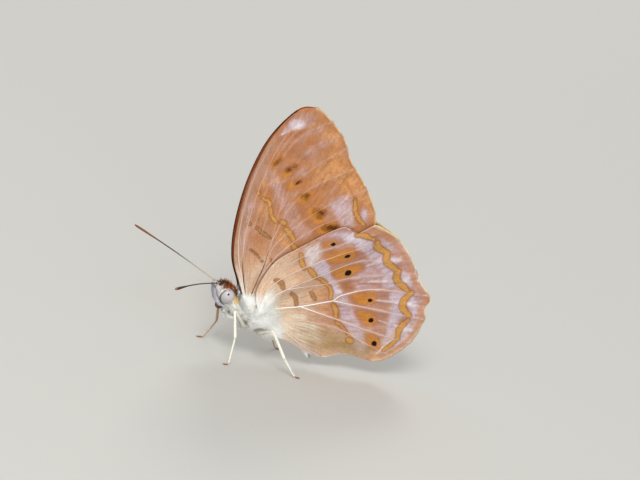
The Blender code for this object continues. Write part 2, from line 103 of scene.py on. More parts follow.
# Veins as (x, z) from the root outwards, with the radius at the root and at the end
FW_VEINS = (
    (
        ((1.7, 10.5), (0.3, 13.6), (-1.2, 16.6), (-2.6, 21.0), (-3.2, 26.0), (-3.2, 31.5), (-2.2, 37.0)),
        0.16,
        0.1,
    ),
    (
        ((1.9, 10.3), (0.6, 13.4), (-0.7, 17.2), (-1.6, 22.0), (-1.8, 29.5), (-0.8, 36.9), (1.2, 42.4)),
        0.15,
        0.095,
    ),
    (((-1.8, 30.2), (-0.8, 34.3), (0.7, 38.7), (3.1, 43.0)), 0.1, 0.09),
    (((-0.5, 22.6), (-0.5, 28.7), (0.4, 35.0), (2.1, 39.0), (5.0, 41.7), (7.1, 42.7)), 0.095, 0.09),
    (((1.2, 21.6), (1.4, 29.0), (4.1, 36.7), (7.3, 39.8), (9.1, 40.7)), 0.095, 0.09),
    (((3.4, 20.8), (3.0, 26.6), (4.1, 31.6), (8.2, 36.5), (10.8, 38.9)), 0.095, 0.1),
    (((2.3, 10.4), (2.7, 12.4), (3.3, 16.5), (3.4, 20.8)), 0.15, 0.1),
    (((3.4, 20.8), (4.5, 26.4), (6.8, 30.8), (13.0, 35.5)), 0.1, 0.105),
    (((3.3, 17.3), (4.8, 21.4), (10.1, 27.9), (16.3, 32.5)), 0.1, 0.105),
    (((-1.5, 21.4), (-0.5, 22.6), (1.2, 21.6), (3.4, 20.8)), 0.08, 0.08),
    (((2.6, 10.3), (3.2, 14.4), (6.3, 20.3), (11.8, 25.8), (18.6, 28.7)), 0.12, 0.1),
)
HW_VEINS = (
    (
        ((3.7, 10.9), (4.4, 14.4), (8.3, 18.7), (11.6, 20.8), (14.4, 22.3), (17.2, 24.0), (20.5, 25.7)),
        0.13,
        0.08,
    ),
    (((4.0, 10.6), (5.7, 13.8), (10.4, 17.8), (18.6, 22.6), (24.6, 24.3)), 0.14, 0.08),
    (((4.9, 10.4), (8.3, 13.3), (13.9, 16.9), (19.2, 20.0), (27.6, 21.6)), 0.15, 0.08),
    (((8.3, 13.3), (14.7, 14.9), (19.8, 17.1), (29.9, 19.6)), 0.12, 0.08),
    (((17.3, 12.3), (18.8, 13.7), (24.0, 15.6), (33.4, 16.1)), 0.13, 0.09),
    (((4.6, 9.5), (8.3, 9.5), (12.0, 10.3), (17.3, 12.3)), 0.19, 0.14),
    (((17.3, 12.3), (23.9, 12.1), (34.0, 11.8)), 0.13, 0.09),
    (((12.0, 10.3), (19.5, 9.1), (27.3, 7.8), (33.5, 7.2)), 0.15, 0.09),
    (((5.2, 8.6), (9.7, 8.0), (19.2, 7.7), (25.2, 5.9), (30.2, 4.4)), 0.17, 0.09),
    (((6.2, 7.9), (9.5, 6.5), (13.4, 4.4), (17.9, 2.3)), 0.19, 0.09),
)

# Crisp marks: half a width, then a line of (x, z)
FW_MARKS = {
    "ochre": (
        (0.25, (-1.7, 28.7), (-1.5, 28.4)),
        (0.26, (-0.7, 27.85), (0.6, 27.35), (1.2, 26.6)),
        (0.26, (1.3, 26.3), (1.9, 25.0), (3.1, 24.1)),
        (0.34, (3.95, 24.4), (4.6, 24.1)),
        (0.38, (5.1, 23.2), (5.9, 22.7), (6.9, 21.75)),
        (0.36, (7.0, 20.8), (8.2, 19.9)),
        (0.29, (14.9, 30.5), (15.4, 29.2), (15.8, 28.2), (16.7, 27.3), (17.8, 26.5)),
    ),
    "brown": (
        (0.2, (0.2, 18.7), (1.1, 18.35), (2.2, 17.6)),
        (0.2, (2.7, 17.2), (2.8, 17.1)),
        (0.15, (4.15, 17.8), (4.6, 17.1), (5.5, 16.6)),
        (0.16, (5.2, 17.4), (5.3, 17.3)),
    ),
    "bar": ((0.34, (0.0, 22.75), (1.6, 21.75), (2.95, 21.2)), (0.28, (-1.5, 23.2), (-1.2, 23.0))),
    "black": (),
}
HW_MARKS = {
    "ochre": (
        (0.34, (8.65, 19.7), (9.1, 18.6), (10.05, 17.45)),
        (0.34, (10.8, 17.55), (11.6, 17.0), (12.6, 16.1)),
        (0.25, (13.2, 16.0), (14.4, 15.5), (15.4, 14.85)),
        (0.28, (15.9, 14.6), (16.5, 13.7), (16.75, 12.6)),
        (0.35, (17.6, 11.6), (18.4, 10.6), (18.8, 9.4)),
        (0.2, (19.1, 8.7), (20.6, 7.9), (22.2, 6.65)),
        (0.5, (22.3, 6.05), (22.9, 5.7)),
        (0.38, (17.0, 24.7), (18.3, 24.9), (20.2, 24.5)),
        (0.54, (21.1, 24.0), (21.5, 23.1), (23.2, 22.4)),
        (0.54, (23.85, 22.3), (24.1, 20.8), (26.1, 19.75)),
        (0.54, (26.9, 19.4), (26.9, 18.0), (29.4, 16.5)),
        (0.54, (30.4, 16.1), (29.5, 14.5), (29.8, 13.2), (31.4, 12.0)),
        (0.48, (31.4, 11.2), (30.6, 9.5), (30.8, 7.7)),
        (0.34, (30.5, 7.1), (30.0, 6.1), (29.1, 5.2)),
    ),
    "brown": ((0.1, (9.4, 12.9), (9.5, 12.8)),),
    "bar": (
        (0.4, (5.8, 14.6), (6.9, 14.3), (7.4, 13.7), (7.75, 13.25)),
        (0.36, (9.6, 12.4), (10.6, 11.8), (11.3, 10.5)),
        (0.3, (13.05, 13.1), (13.6, 12.6), (14.25, 11.9)),
    ),
    "black": (
        (0.27, (13.3, 22.32), (13.7, 22.55)),
        (0.36, (16.5, 20.68), (16.95, 20.92)),
        (0.5, (18.0, 17.5), (18.35, 17.75)),
        (0.32, (23.5, 13.46), (23.85, 13.52)),
        (0.4, (24.95, 9.95), (25.15, 10.1)),
        (0.42, (26.85, 6.15), (27.2, 5.95)),
    ),
}
# Soft marks: half a width, a strength, then a line of (x, z)
FW_STROKES = {
    "lilac_and_sheen": (
        (0.35, 0.45, (-0.6, 40.3), (0.9, 41.7)),
        (0.4, 0.35, (1.8, 38.4), (5.3, 41.6)),
        (0.55, 0.3, (4.2, 36.6), (8.0, 39.5)),
        (1.0, 0.3, (-1.5, 19.5), (-2.2, 26.0)),
    ),
    "silver_and_sheen": ((0.16, 0.8, (-0.9, 39.0), (-0.1, 39.8)),),
    "orange": (
        (0.9, 0.6, (10.7, 33.8), (12.4, 32.5), (13.2, 30.9)),
        (1.0, 0.5, (-1.0, 30.5), (1.2, 31.6)),
        (1.2, 0.5, (4.5, 42.0), (8.5, 39.6)),
        (1.0, 0.45, (0.0, 26.0), (1.0, 24.5)),
        (0.9, 0.6, (4.4, 21.9), (6.2, 20.4)),
    ),
    "rust": (
        (0.9, 0.4, (4.0, 38.4), (7.0, 38.0)),
        (0.8, 0.55, (7.8, 25.7), (10.0, 24.1)),
        (0.8, 0.45, (3.4, 42.9), (6.8, 41.2)),
    ),
    "halo": ((0.35, 0.55, (12.0, 33.5), (13.1, 32.5), (14.1, 31.4), (15.1, 30.4)),),
    "cream": ((1.5, 0.35, (1.7, 11.0), (1.5, 14.0), (3.0, 17.0)),),
    "olive": (),
    "smudge": (
        (0.5, 0.85, (-0.5, 33.9), (0.25, 34.8)),
        (0.6, 0.9, (2.0, 33.2), (2.6, 33.8), (3.0, 34.1)),
        (0.5, 0.85, (4.1, 31.3), (4.7, 31.7)),
        (0.58, 0.8, (6.0, 29.4), (6.9, 29.6), (6.8, 29.0)),
        (0.7, 0.85, (9.0, 27.1), (10.6, 27.2), (10.0, 26.4)),
        (0.72, 0.9, (11.4, 24.8), (13.3, 25.1)),
    ),
    "dusk": (
        (0.3, 0.4, (-0.3, 34.1), (0.0, 34.4)),
        (0.44, 0.75, (2.2, 33.3), (2.8, 33.8)),
        (0.34, 0.65, (4.3, 31.3), (4.6, 31.6)),
        (0.38, 0.5, (6.6, 29.4), (6.9, 29.6)),
        (0.48, 0.65, (9.6, 27.1), (10.4, 27.0)),
        (0.5, 0.75, (12.2, 24.9), (13.2, 25.1)),
    ),
}
HW_STROKES = {
    "lilac_and_sheen": (
        (2.6, 0.2, (20.5, 21.5), (23.5, 18.5), (25.5, 15.5), (26.5, 12.0), (27.2, 8.5)),
        (1.6, 0.42, (25.0, 24.0), (29.0, 21.0), (31.6, 17.0), (32.9, 12.5), (32.2, 7.5)),
        (0.9, 0.4, (11.5, 23.2), (14.5, 23.8), (19.5, 22.5)),
    ),
    "silver_and_sheen": ((0.3, 0.5, (30.2, 5.6), (29.3, 4.4)),),
    "orange": (
        (0.45, 0.9, (24.9, 12.2), (27.4, 12.7)),
        (0.6, 0.6, (27.1, 11.1), (27.4, 10.6)),
        (1.3, 0.35, (14.5, 13.2), (15.8, 11.4)),
        (1.2, 0.35, (8.4, 16.9), (10.2, 15.6)),
        (1.1, 0.3, (16.6, 10.2), (18.0, 8.3)),
    ),
    "rust": (
        (0.45, 0.6, (14.2, 19.3), (15.4, 19.9)),
        (0.5, 0.6, (15.9, 17.1), (16.8, 17.3)),
        (0.5, 0.75, (21.2, 13.1), (22.2, 13.4)),
        (0.6, 0.75, (22.9, 10.5), (23.9, 10.2)),
        (0.6, 0.35, (23.0, 21.9), (24.6, 20.2)),
    ),
    "halo": ((0.35, 0.7, (19.2, 15.3), (20.0, 15.5)), (0.42, 0.95, (12.2, 22.2), (13.7, 22.8))),
    "cream": ((1.0, 1.0, (5.1, 8.9), (9.7, 8.2), (13.1, 8.0)),),
    "olive": (
        (2.6, 0.6, (14.0, 5.8), (19.0, 5.2), (25.5, 4.6)),
        (1.3, 0.75, (18.4, 4.4), (21.0, 4.9), (24.0, 4.8)),
    ),
    "smudge": (),
    "dusk": (),
}
# Soft areas: a strength, then an outline of (x, z)
FW_AREAS = {
    "lilac_and_sheen": (
        (0.32, (-1.1, 32.6), (0.7, 32.2), (2.0, 30.2), (3.6, 28.4), (5.3, 27.6), (6.5, 26.2),
         (8.1, 24.5), (9.7, 23.6), (8.8, 22.3), (7.3, 22.2), (5.4, 24.0), (3.8, 25.5), (2.4, 27.1),
         (0.6, 29.3), (-1.0, 30.8)),
        (0.55, (10.9, 28.9), (12.1, 30.5), (13.8, 31.0), (14.8, 29.9), (15.5, 28.4), (15.8, 27.1),
         (16.6, 25.9), (14.3, 25.5), (12.4, 27.1)),
        (0.75, (16.6, 29.2), (17.3, 29.2), (17.9, 28.3), (17.9, 27.3), (17.5, 27.0), (16.9, 28.0)),
        (0.85, (-1.2, 38.7), (-0.7, 40.0), (-0.3, 41.3), (0.6, 42.0), (1.6, 42.0), (2.3, 41.5),
         (1.6, 40.6), (0.2, 40.0), (-0.5, 39.4)),
        (0.32, (0.2, 42.0), (1.5, 43.4), (3.9, 43.2), (3.8, 41.4), (2.1, 41.1)),
        (0.28, (1.9, 38.4), (3.1, 40.2), (5.4, 41.9), (6.0, 41.1), (3.8, 39.1), (2.6, 37.6)),
        (0.2, (4.3, 37.1), (6.6, 39.3), (8.3, 40.5), (8.8, 39.7), (7.0, 38.3), (5.1, 36.5)),
        (0.3, (3.9, 33.8), (5.4, 34.5), (5.3, 32.6), (5.0, 29.4), (4.2, 28.5), (3.2, 30.5), (3.7, 32.3)),
    ),
    "silver_and_sheen": (
        (1.0, (0.2, 40.0), (0.9, 40.9), (1.9, 41.6), (2.2, 40.9), (1.1, 40.4)),
        (0.45, (14.1, 28.0), (15.0, 28.5), (15.8, 27.1), (15.1, 26.6)),
    ),
    "orange": (
        (0.62, (8.3, 37.9), (10.3, 37.9), (12.4, 36.0), (13.4, 35.1), (16.1, 32.5), (18.1, 29.9),
         (19.2, 27.9), (18.6, 27.4), (17.1, 29.8), (15.2, 30.4), (13.5, 30.2), (12.6, 32.2),
         (10.3, 33.2), (8.9, 35.1)),
        (0.6, (6.7, 34.3), (8.8, 36.0), (10.0, 33.5), (8.2, 31.6), (6.6, 32.2)),
    ),
    "rust": (
        (0.9, (-1.3, 38.1), (-0.4, 39.2), (0.7, 39.9), (2.6, 40.6), (2.2, 39.3), (0.9, 38.2),
         (-0.3, 37.8)),
        (0.55, (0.2, 37.4), (2.3, 38.5), (4.7, 37.5), (4.5, 35.0), (2.6, 35.3), (0.9, 36.1)),
        (0.5, (5.2, 27.8), (6.5, 28.2), (8.1, 26.7), (8.5, 25.0), (7.3, 25.1), (6.0, 26.5)),
        (0.6, (9.7, 23.6), (11.0, 23.3), (12.4, 24.6), (11.4, 23.3), (10.2, 22.4)),
    ),
    "halo": (
        (1.05, (-1.2, 34.1), (-0.6, 34.9), (0.1, 35.4), (0.6, 35.0), (0.2, 33.5), (-0.8, 33.3)),
        (1.15, (1.15, 32.7), (2.0, 33.6), (3.0, 34.7), (3.3, 33.3), (2.6, 32.1), (1.5, 31.8)),
        (1.15, (2.6, 30.7), (3.8, 31.8), (4.7, 32.5), (5.0, 31.5), (4.7, 30.4), (3.3, 29.8)),
        (1.2, (5.3, 29.1), (6.2, 29.9), (7.3, 30.5), (7.6, 29.1), (7.0, 27.6), (5.9, 27.9)),
        (1.25, (7.8, 27.0), (8.8, 27.7), (10.4, 27.8), (10.8, 26.7), (10.5, 25.3), (9.0, 25.4)),
        (1.25, (10.3, 24.2), (11.2, 25.5), (12.4, 26.1), (13.5, 25.5), (12.8, 24.5), (11.3, 23.5)),
    ),
}
HW_AREAS = {
    "lilac_and_sheen": (
        (0.95, (10.9, 17.9), (12.4, 19.2), (13.1, 19.4), (14.2, 18.4), (14.9, 17.3), (16.0, 16.0),
         (16.8, 15.5), (17.9, 14.4), (18.7, 13.7), (18.1, 13.4), (17.2, 12.7), (16.6, 14.0),
         (16.0, 15.0), (14.9, 15.9), (13.3, 16.5), (11.9, 17.5)),
        (0.62, (17.8, 12.6), (19.0, 13.7), (20.8, 12.2), (21.8, 10.8), (22.8, 9.8), (23.7, 8.6),
         (24.6, 7.5), (25.1, 6.4), (23.8, 6.4), (21.7, 7.5), (20.2, 8.7), (19.4, 10.1), (18.5, 11.6)),
        (0.35, (22.4, 7.1), (24.9, 6.2), (26.1, 4.9), (25.3, 4.0), (23.6, 4.7), (22.4, 6.0)),
        (0.85, (10.8, 23.0), (12.3, 23.8), (13.8, 24.8), (15.9, 25.0), (17.4, 24.7), (19.0, 24.4),
         (20.1, 24.0), (20.9, 22.7), (19.7, 21.8), (18.2, 22.6), (16.5, 23.1), (15.2, 23.2),
         (14.1, 23.8), (12.4, 23.6)),
        (0.55, (14.4, 21.8), (16.2, 22.9), (18.0, 23.6), (18.6, 22.5), (16.8, 22.4), (15.0, 21.4)),
        (0.7, (20.1, 22.6), (23.1, 22.0), (23.9, 20.7), (25.9, 19.8), (26.8, 17.5), (28.8, 16.6),
         (25.4, 16.0), (24.5, 17.3), (24.3, 18.4), (22.9, 19.2), (21.2, 20.4), (19.9, 21.4)),
        (0.45, (19.2, 20.2), (21.4, 20.4), (24.1, 19.1), (24.8, 17.2), (21.0, 16.5), (19.1, 16.7),
         (19.2, 17.3), (20.9, 18.9)),
        (0.8, (26.6, 15.6), (29.7, 15.8), (29.5, 14.3), (29.7, 13.0), (30.5, 11.9), (29.7, 10.4),
         (29.9, 8.8), (29.4, 7.7), (29.0, 6.2), (28.4, 6.2), (28.5, 8.1), (28.0, 9.9), (27.8, 11.8),
         (27.2, 13.9)),
        (0.6, (21.4, 24.9), (23.3, 24.3), (25.0, 23.3), (24.5, 22.5), (23.0, 23.1), (21.6, 24.2)),
        (0.8, (24.6, 21.7), (26.1, 21.8), (26.6, 21.2), (25.7, 20.6), (24.7, 21.0)),
        (0.85, (27.4, 19.7), (28.6, 19.3), (29.7, 18.2), (30.0, 17.0), (28.4, 17.6), (27.6, 18.6)),
        (0.85, (30.2, 15.7), (31.5, 15.2), (32.2, 13.8), (32.7, 12.1), (31.6, 11.9), (30.6, 13.6)),
        (0.85, (31.2, 11.0), (31.7, 11.5), (32.4, 10.1), (32.3, 8.4), (31.4, 7.3), (31.0, 8.9)),
        (0.8, (30.9, 7.1), (32.0, 7.1), (30.4, 5.3), (29.2, 4.5), (29.8, 5.9)),
        (0.45, (19.3, 16.0), (20.7, 16.2), (24.3, 16.3), (23.2, 15.4), (20.4, 14.9)),
    ),
    "silver_and_sheen": (
        (0.72, (8.9, 20.8), (9.8, 21.7), (11.0, 22.4), (11.6, 21.6), (12.2, 20.3), (11.8, 19.1),
         (10.9, 18.1), (9.9, 18.8), (9.4, 19.8)),
        (0.6, (15.0, 24.4), (16.7, 24.6), (18.1, 24.3), (19.1, 23.1), (18.5, 22.7), (17.1, 23.6),
         (15.6, 23.7)),
        (0.5, (16.2, 15.6), (17.2, 15.4), (18.1, 14.3), (17.5, 13.8), (16.7, 14.6)),
        (0.5, (27.9, 18.6), (28.8, 18.8), (29.5, 17.8), (28.6, 17.8)),
    ),
    "halo": (
        (0.45, (11.3, 23.1), (13.2, 23.8), (14.3, 23.2), (14.3, 22.3), (13.0, 21.7), (11.6, 22.2)),
        (1.0, (13.0, 20.3), (14.6, 21.5), (16.1, 22.3), (17.6, 22.2), (18.2, 20.7), (16.9, 19.7),
         (15.4, 19.2), (13.7, 19.3)),
        (1.0, (15.1, 17.7), (16.6, 18.7), (18.6, 19.3), (20.3, 19.5), (20.3, 18.4), (18.9, 17.2),
         (17.2, 16.4), (16.1, 16.6)),
        (1.0, (20.3, 13.7), (21.6, 14.6), (23.4, 15.0), (24.6, 14.4), (24.6, 13.2), (22.9, 12.4),
         (21.2, 12.5)),
        (1.0, (22.0, 11.0), (23.2, 11.7), (24.7, 11.5), (25.9, 10.6), (26.0, 9.3), (24.6, 8.9),
         (23.1, 9.7)),
        (0.95, (24.8, 7.5), (26.2, 7.8), (27.6, 6.9), (28.6, 5.3), (27.2, 4.9), (25.6, 6.0)),
    ),
    "rust": (
        (0.8, (17.9, 22.0), (20.8, 21.9), (21.8, 20.5), (19.5, 19.6), (18.3, 20.5)),
        (0.7, (20.8, 19.2), (24.1, 19.1), (24.4, 17.8), (21.8, 17.2), (20.6, 17.7)),
        (0.9, (17.4, 15.7), (19.3, 16.2), (20.5, 15.3), (19.5, 14.5), (18.5, 14.6)),
        (0.75, (23.2, 16.5), (24.9, 16.6), (25.4, 16.0), (23.1, 15.6)),
        (0.75, (23.7, 14.9), (26.5, 15.4), (27.2, 13.9), (25.0, 13.3)),
        (0.7, (24.9, 12.6), (27.0, 12.9), (28.0, 9.9), (26.4, 9.4), (25.2, 11.1)),
        (0.75, (25.9, 8.8), (28.3, 9.2), (28.7, 7.6), (27.3, 6.8), (25.9, 7.7)),
        (0.6, (18.6, 11.8), (20.4, 11.4), (21.2, 10.0), (20.6, 9.2), (19.2, 10.4)),
        (0.45, (22.7, 8.3), (24.6, 8.0), (24.6, 6.0), (23.2, 7.4)),
    ),
}
HW_FOLDS = (
    ((24.3, 13.7), (28.6, 14.0), (33.2, 13.9)),
    ((26.2, 10.3), (31.1, 9.6), (33.6, 9.35)),
    ((20.8, 16.4), (25.1, 17.3), (31.0, 18.4)),
    ((20.9, 19.5), (23.9, 20.7), (26.3, 21.5)),
)
HW_TORNUS_FOLD = ((27.9, 3.9), (28.6, 5.4), (29.8, 7.0), (30.9, 7.4))

VEINS = {"forewing": FW_VEINS, "hindwing": HW_VEINS}
MARKS = {"forewing": FW_MARKS, "hindwing": HW_MARKS}
STROKES = {"forewing": FW_STROKES, "hindwing": HW_STROKES}
AREAS = {"forewing": FW_AREAS, "hindwing": HW_AREAS}
OUTER_EDGES = {"forewing": FW_TERMEN, "hindwing": (HW_COSTA[-1], *HW_TERMEN, HW_INNER[0])}
FRONT_EDGES = {"forewing": FW_COSTA, "hindwing": HW_COSTA}
RAY_ROOTS = {"forewing": (2.2, 8.6), "hindwing": (3.4, 8.6)}  # where the rays of a wing meet
# Veins by their place in the lists: the shares of their length over which a dark stem, or the white
# of the root, runs out, and where a vein that starts without white comes out of the ground
VEIN_STEMS = {("forewing", 1): (0.15, 0.32), ("forewing", 6): (0.75, 1.0)}
VEIN_BRIGHT = {
    ("hindwing", 4): (0.1, 0.8),
    ("hindwing", 5): (0.9, 1.9),
    ("hindwing", 7): (0.0, 0.35),
    ("hindwing", 9): (0.1, 0.8),
}
VEIN_FADED = {("hindwing", 0): 0.4, ("hindwing", 1): 0.35, ("hindwing", 8): 0.6}
NO_STEM, SHORT_BRIGHT = (-1.0, 0.0), (0.03, 0.22)
VEIN_GIRTH, VEIN_SIDES = 0.85, 8  # share of the listed radius, and the sides of a vein's tube
VEIN_STOP, VEIN_CLEAR = 0.22, 0.12  # spacing of a vein's rings, and how far it stays from the rim
PLEAT, FOLD_DEEP, WAVE = 0.09, 0.10, 0.035  # rise between veins, depth of a fold, height of the ripple
FRINGE_COUNTS = {"forewing": 1500, "hindwing": 1900}
RANK_GAP, FRINGE_SUNK = 0.025, 0.09  # between the fringe's ranks, and how deep its scales are rooted

# Body: x, z, half width and half depth of its skin, from the abdomen's tip to the face
BODY = (
    (16.42, 1.66, 0.06, 0.06), (16.2, 1.95, 0.34, 0.34), (15.1, 3.2, 0.64, 0.68),
    (13.0, 4.65, 0.96, 1.02), (10.8, 5.5, 1.18, 1.24), (8.9, 5.98, 1.02, 1.1), (7.5, 6.32, 1.3, 1.55),
    (6.2, 6.8, 1.7, 2.1), (4.65, 7.42, 1.85, 2.32), (3.0, 8.05, 1.62, 2.05), (1.8, 8.5, 1.25, 1.55),
    (0.9, 8.85, 0.9, 1.1), (0.1, 9.45, 0.85, 1.2), (-0.9, 10.15, 0.92, 1.45), (-1.9, 10.7, 0.95, 1.4),
    (-2.7, 11.05, 0.75, 1.05), (-3.15, 11.25, 0.42, 0.6), (-3.3, 11.32, 0.06, 0.06),
)
BODY_RINGS, BODY_SIDES = 300, 88
SEGMENTS, ABDOMEN_SHARE = 8, 0.43  # of the abdomen, and how much of the body's run it takes
SHARE_STEP, TURN_STEP = 0.004, 0.02  # steps of share and of angle that give directions on the skin

# Head
EYE_RINGS, EYE_SIDES, EYE_REACH = 43, 72, math.radians(112.0)  # the lenses' dome, from its pole
HORN_SIDES, LIMB_SIDES = 12, 20
EYE, EYE_HALF = np.array((-1.15, 0.72, 10.1)), np.array((1.25, 1.05, 1.3))
PALP = ((-1.2, 0.7, 8.3), (-2.05, 0.66, 8.62), (-2.85, 0.56, 9.5), (-3.4, 0.52, 10.6), (-3.75, 0.5, 11.4))
COIL = np.array((-1.6, 0.0, 8.2))
COIL_R, COIL_TURNS = 0.74, 2.6
ANTENNA_ROOT, ANTENNA_TIP = np.array((-3.5, 0.5, 11.95)), np.array((-14.9, 12.0, 14.4))
ANTENNA_BOWS = {LEFT: np.array((0.0, -0.35, 0.13)), RIGHT: np.array((0.0, -0.35, 0.25))}

# Legs: station and angle of the hip on the thorax, then knee, ankle and foot
LEGS = {
    "midleg_left": ((0.2, -42.0), (-0.7, -4.5, 9.45), (0.67, -5.0, 4.95), (0.6, -5.15, 0.0)),
    "midleg_right": ((0.2, 42.0), (-0.4, 4.2, 8.4), (0.85, 4.6, 3.35), (-1.1, 4.4, 0.0)),
    "hindleg_left": ((-0.5, -50.0), (6.7, -5.0, 7.2), (10.0, -5.35, 2.9), (13.0, -5.8, 0.0)),
    "hindleg_right": ((-0.5, 50.0), (7.6, 4.5, 6.6), (10.6, 4.8, 3.2), (13.0, 4.8, 0.0)),
}
FOOT_LIES = 1.1


def linear(text):
    """An sRGB hex colour as linear red, green and blue."""
    parts = np.array([int(text[k : k + 2], 16) for k in (1, 3, 5)]) / 255.0
    return tuple(np.where(parts <= 0.04045, parts / 12.92, ((parts + 0.055) / 1.055) ** 2.4).tolist())


def colour_property(name, text, description):
    return bpy.props.FloatVectorProperty(
        name=name, description=description, subtype="COLOR", size=3, min=0.0, max=1.0, default=linear(text)
    )


def size_property(name, millimetres, description):
    return bpy.props.FloatProperty(
        name=name, description=description, unit="LENGTH", default=millimetres * MM, min=0.0, precision=5
    )


def power_property(name, power, description):
    return bpy.props.FloatProperty(name=name, description=description, default=power)


# Curves and fields


def catmull_rom(points, steps=24, closed=False):
    """A smooth curve through the points; every steps-th stop is one of them.

    Between two points it is the cubic that leaves and meets them along the chord of their
    neighbours.
    """
    given = np.array(points, float)
    if closed:
        given = np.vstack((given[-1], given, given[:2]))
    else:
        given = np.vstack((2 * given[0] - given[1], given, 2 * given[-1] - given[-2]))
    a, b, c, d = (given[k : len(given) - 3 + k, None] for k in range(4))
    t = np.linspace(0.0, 1.0, steps, endpoint=False)[None, :, None]
    fine = 0.5 * (2 * b + (c - a) * t + (2 * a - 5 * b + 4 * c - d) * t**2 + (3 * b - a - 3 * c + d) * t**3)
    fine = fine.reshape(-1, given.shape[1])
    return fine if closed else np.vstack((fine, given[-2]))


def run_along(line):
    """How far along a line each of its stops lies."""
    return np.concatenate(([0.0], np.cumsum(np.linalg.norm(np.diff(line, axis=0), axis=1))))


def even_stops(line, count):
    """The same line at count stops of equal spacing."""
    run = run_along(line)
    stops = np.linspace(0.0, run[-1], count)
    return np.column_stack([np.interp(stops, run, column) for column in line.T])


def distance_to(points, line, signed=False):
    """Distance from each (x, z) point to an open line; signed is positive to the right of its run."""
    line = np.asarray(line, float)
    start, along = line[:-1], np.diff(line, axis=0)
    gap = points[:, None, :] - start[None]
    share = np.clip((gap * along).sum(2) / np.maximum((along**2).sum(1), 1e-12), 0.0, 1.0)
    length = np.linalg.norm(gap - share[..., None] * along, axis=2)
    nearest = length.argmin(1)
    rows = np.arange(len(points))
    if not signed:
        return length[rows, nearest]
    turn = gap[rows, nearest, 0] * along[nearest, 1] - gap[rows, nearest, 1] * along[nearest, 0]
    return length[rows, nearest] * np.sign(turn)


def step_up(value, start, end):
    """Nought before start, one after end, and smooth between."""
    t = np.clip((value - start) / (end - start), 0.0, 1.0)
    return t * t * (3.0 - 2.0 * t)


def fade(value, start, end):
    """One before start, nought after end, and smooth between."""
    return 1.0 - step_up(value, start, end)


def hump(value, middle, width, power=2):
    """One at the middle, and down to 1/e at width on either side of it."""
    return np.exp(-(((value - middle) / width) ** power))


def heading(angle):
    """Unit vectors of the flat pattern at these angles from its x."""
    return np.column_stack((np.cos(angle), np.sin(angle)))


def inside_marks(points, marks):
    """How far a point lies inside the nearest mark, in mm; below nought outside them all.

    A mark is a row of discs along a smooth line, whose radius is half at the middle and 0.7 of that
    at both ends.
    """
    inside = np.full(len(points), -1.0)
    for half, *line in marks:
        line = catmull_rom(line, 8)
        run = np.linspace(0.0, math.pi, len(line))
        gaps = np.linalg.norm(points[:, None] - line[None], axis=2)
        inside = np.maximum(inside, (half * (0.7 + 0.3 * np.sin(run)) - gaps).max(1))
    return inside


def soft_marks(points, strokes, areas, soft):
    """A weight that is a mark's own strength on its line or inside its outline, and nought beyond it.

    A stroke fades from 0.15 to 1.5 of its half width, an area over soft mm on either side.
    """
    rows = [np.zeros(len(points))]
    for half, power, *line in strokes:
        rows.append(power * fade(distance_to(points, line) / half, 0.15, 1.5))
    for power, *outline in areas:
        loop = catmull_rom(outline, 4, closed=True)
        gap = distance_to(points, np.vstack((loop, loop[:1])))
        rows.append(power * step_up(np.where(winding(points, loop), gap, -gap), -soft, soft))
    return np.max(rows, axis=0)


def tapered(points, line, half):
    """A weight that is one on a line and fades over half; at the line's start it is a fifth as wide."""
    line = even_stops(catmull_rom(line, 8), 40)
    reach = half * (0.2 + 0.8 * np.sqrt(np.linspace(0.0, 1.0, 40)))
    gaps = np.linalg.norm(points[:, None] - line[None], axis=2)
    return fade((gaps / reach).min(1), 0.2, 1.1)


def ripple(points, size, seed):
    """Smooth noise in the plane of the given grain in mm: a sum of a few turned sine waves."""
    rng = np.random.default_rng(seed)
    total = np.zeros(len(points))
    for _ in range(7):
        angle, phase, scale = rng.uniform(0, math.tau), rng.uniform(0, math.tau), rng.uniform(0.7, 1.6)
        wave = (points[:, 0] * math.cos(angle) + points[:, 1] * math.sin(angle)) * math.tau / (size * scale)
        total += np.sin(wave + phase)
    return total / 7.0


# Where the sheets lie, as in the solids


def egg_reach(points):
    """How far a place lies from the thorax's middle, in shares of its outline seen from the side."""
    x, z = points[:, 0] - THORAX[0], points[:, 1] - THORAX[1]
    along = -x * math.cos(PITCH) + z * math.sin(PITCH)
    across = x * math.sin(PITCH) + z * math.cos(PITCH)
    return np.hypot(along / THORAX_LONG, across / THORAX_DEEP)


def body_bulge(points):
    """How far a wing stands out to pass the thorax and the abdomen: two soft humps over their axes."""
    thorax = (THORAX_WIDE + BESIDE) * hump(egg_reach(points), 0.0, 1.15, 2.4)
    axis = even_stops(catmull_rom([row[:2] for row in ABDOMEN]), 22)
    stations = np.linspace(0.0, 1.0, len(ABDOMEN))
    girth = np.interp(np.linspace(0.0, 1.0, len(axis)), stations, [row[2] for row in ABDOMEN])
    gaps = np.linalg.norm(points[:, None] - axis[None], axis=2)
    beside = ((girth + BESIDE + 0.12) * hump(gaps, 0.0, 1.45 * girth + 0.25, 2.4)).max(1)
    return (thorax**6 + beside**6) ** (1 / 6)


def forewing_middle(points):
    """Close to its twin at the tip, and parting from it along the front edge."""
    from_tip = np.linalg.norm(points - np.array(FW_TERMEN[0]), axis=1)
    from_costa = distance_to(points, catmull_rom(FW_COSTA, 6))
    splay = SPLAY * step_up(from_tip, 3.0, 20.0) * fade(from_costa, 0.0, 8.0)
    return PAIR_Y + splay + body_bulge(points)


def from_dorsum(points, signed=False):
    """Distance from the forewing's hind edge; signed is below nought beyond the forewing."""
    return distance_to(points, catmull_rom(FW_DORSUM, 12), signed)


def forewing_y(points):
    """The forewing's middle, moved a little out where the hindwing covers it."""
    covered = fade(from_dorsum(points), 2.0, 9.0)
    clear = step_up(np.linalg.norm(points - THORAX, axis=1), 5.0, 12.0)
    return forewing_middle(points) + CLOSER * covered - TIGHT * (1.0 - covered) * clear


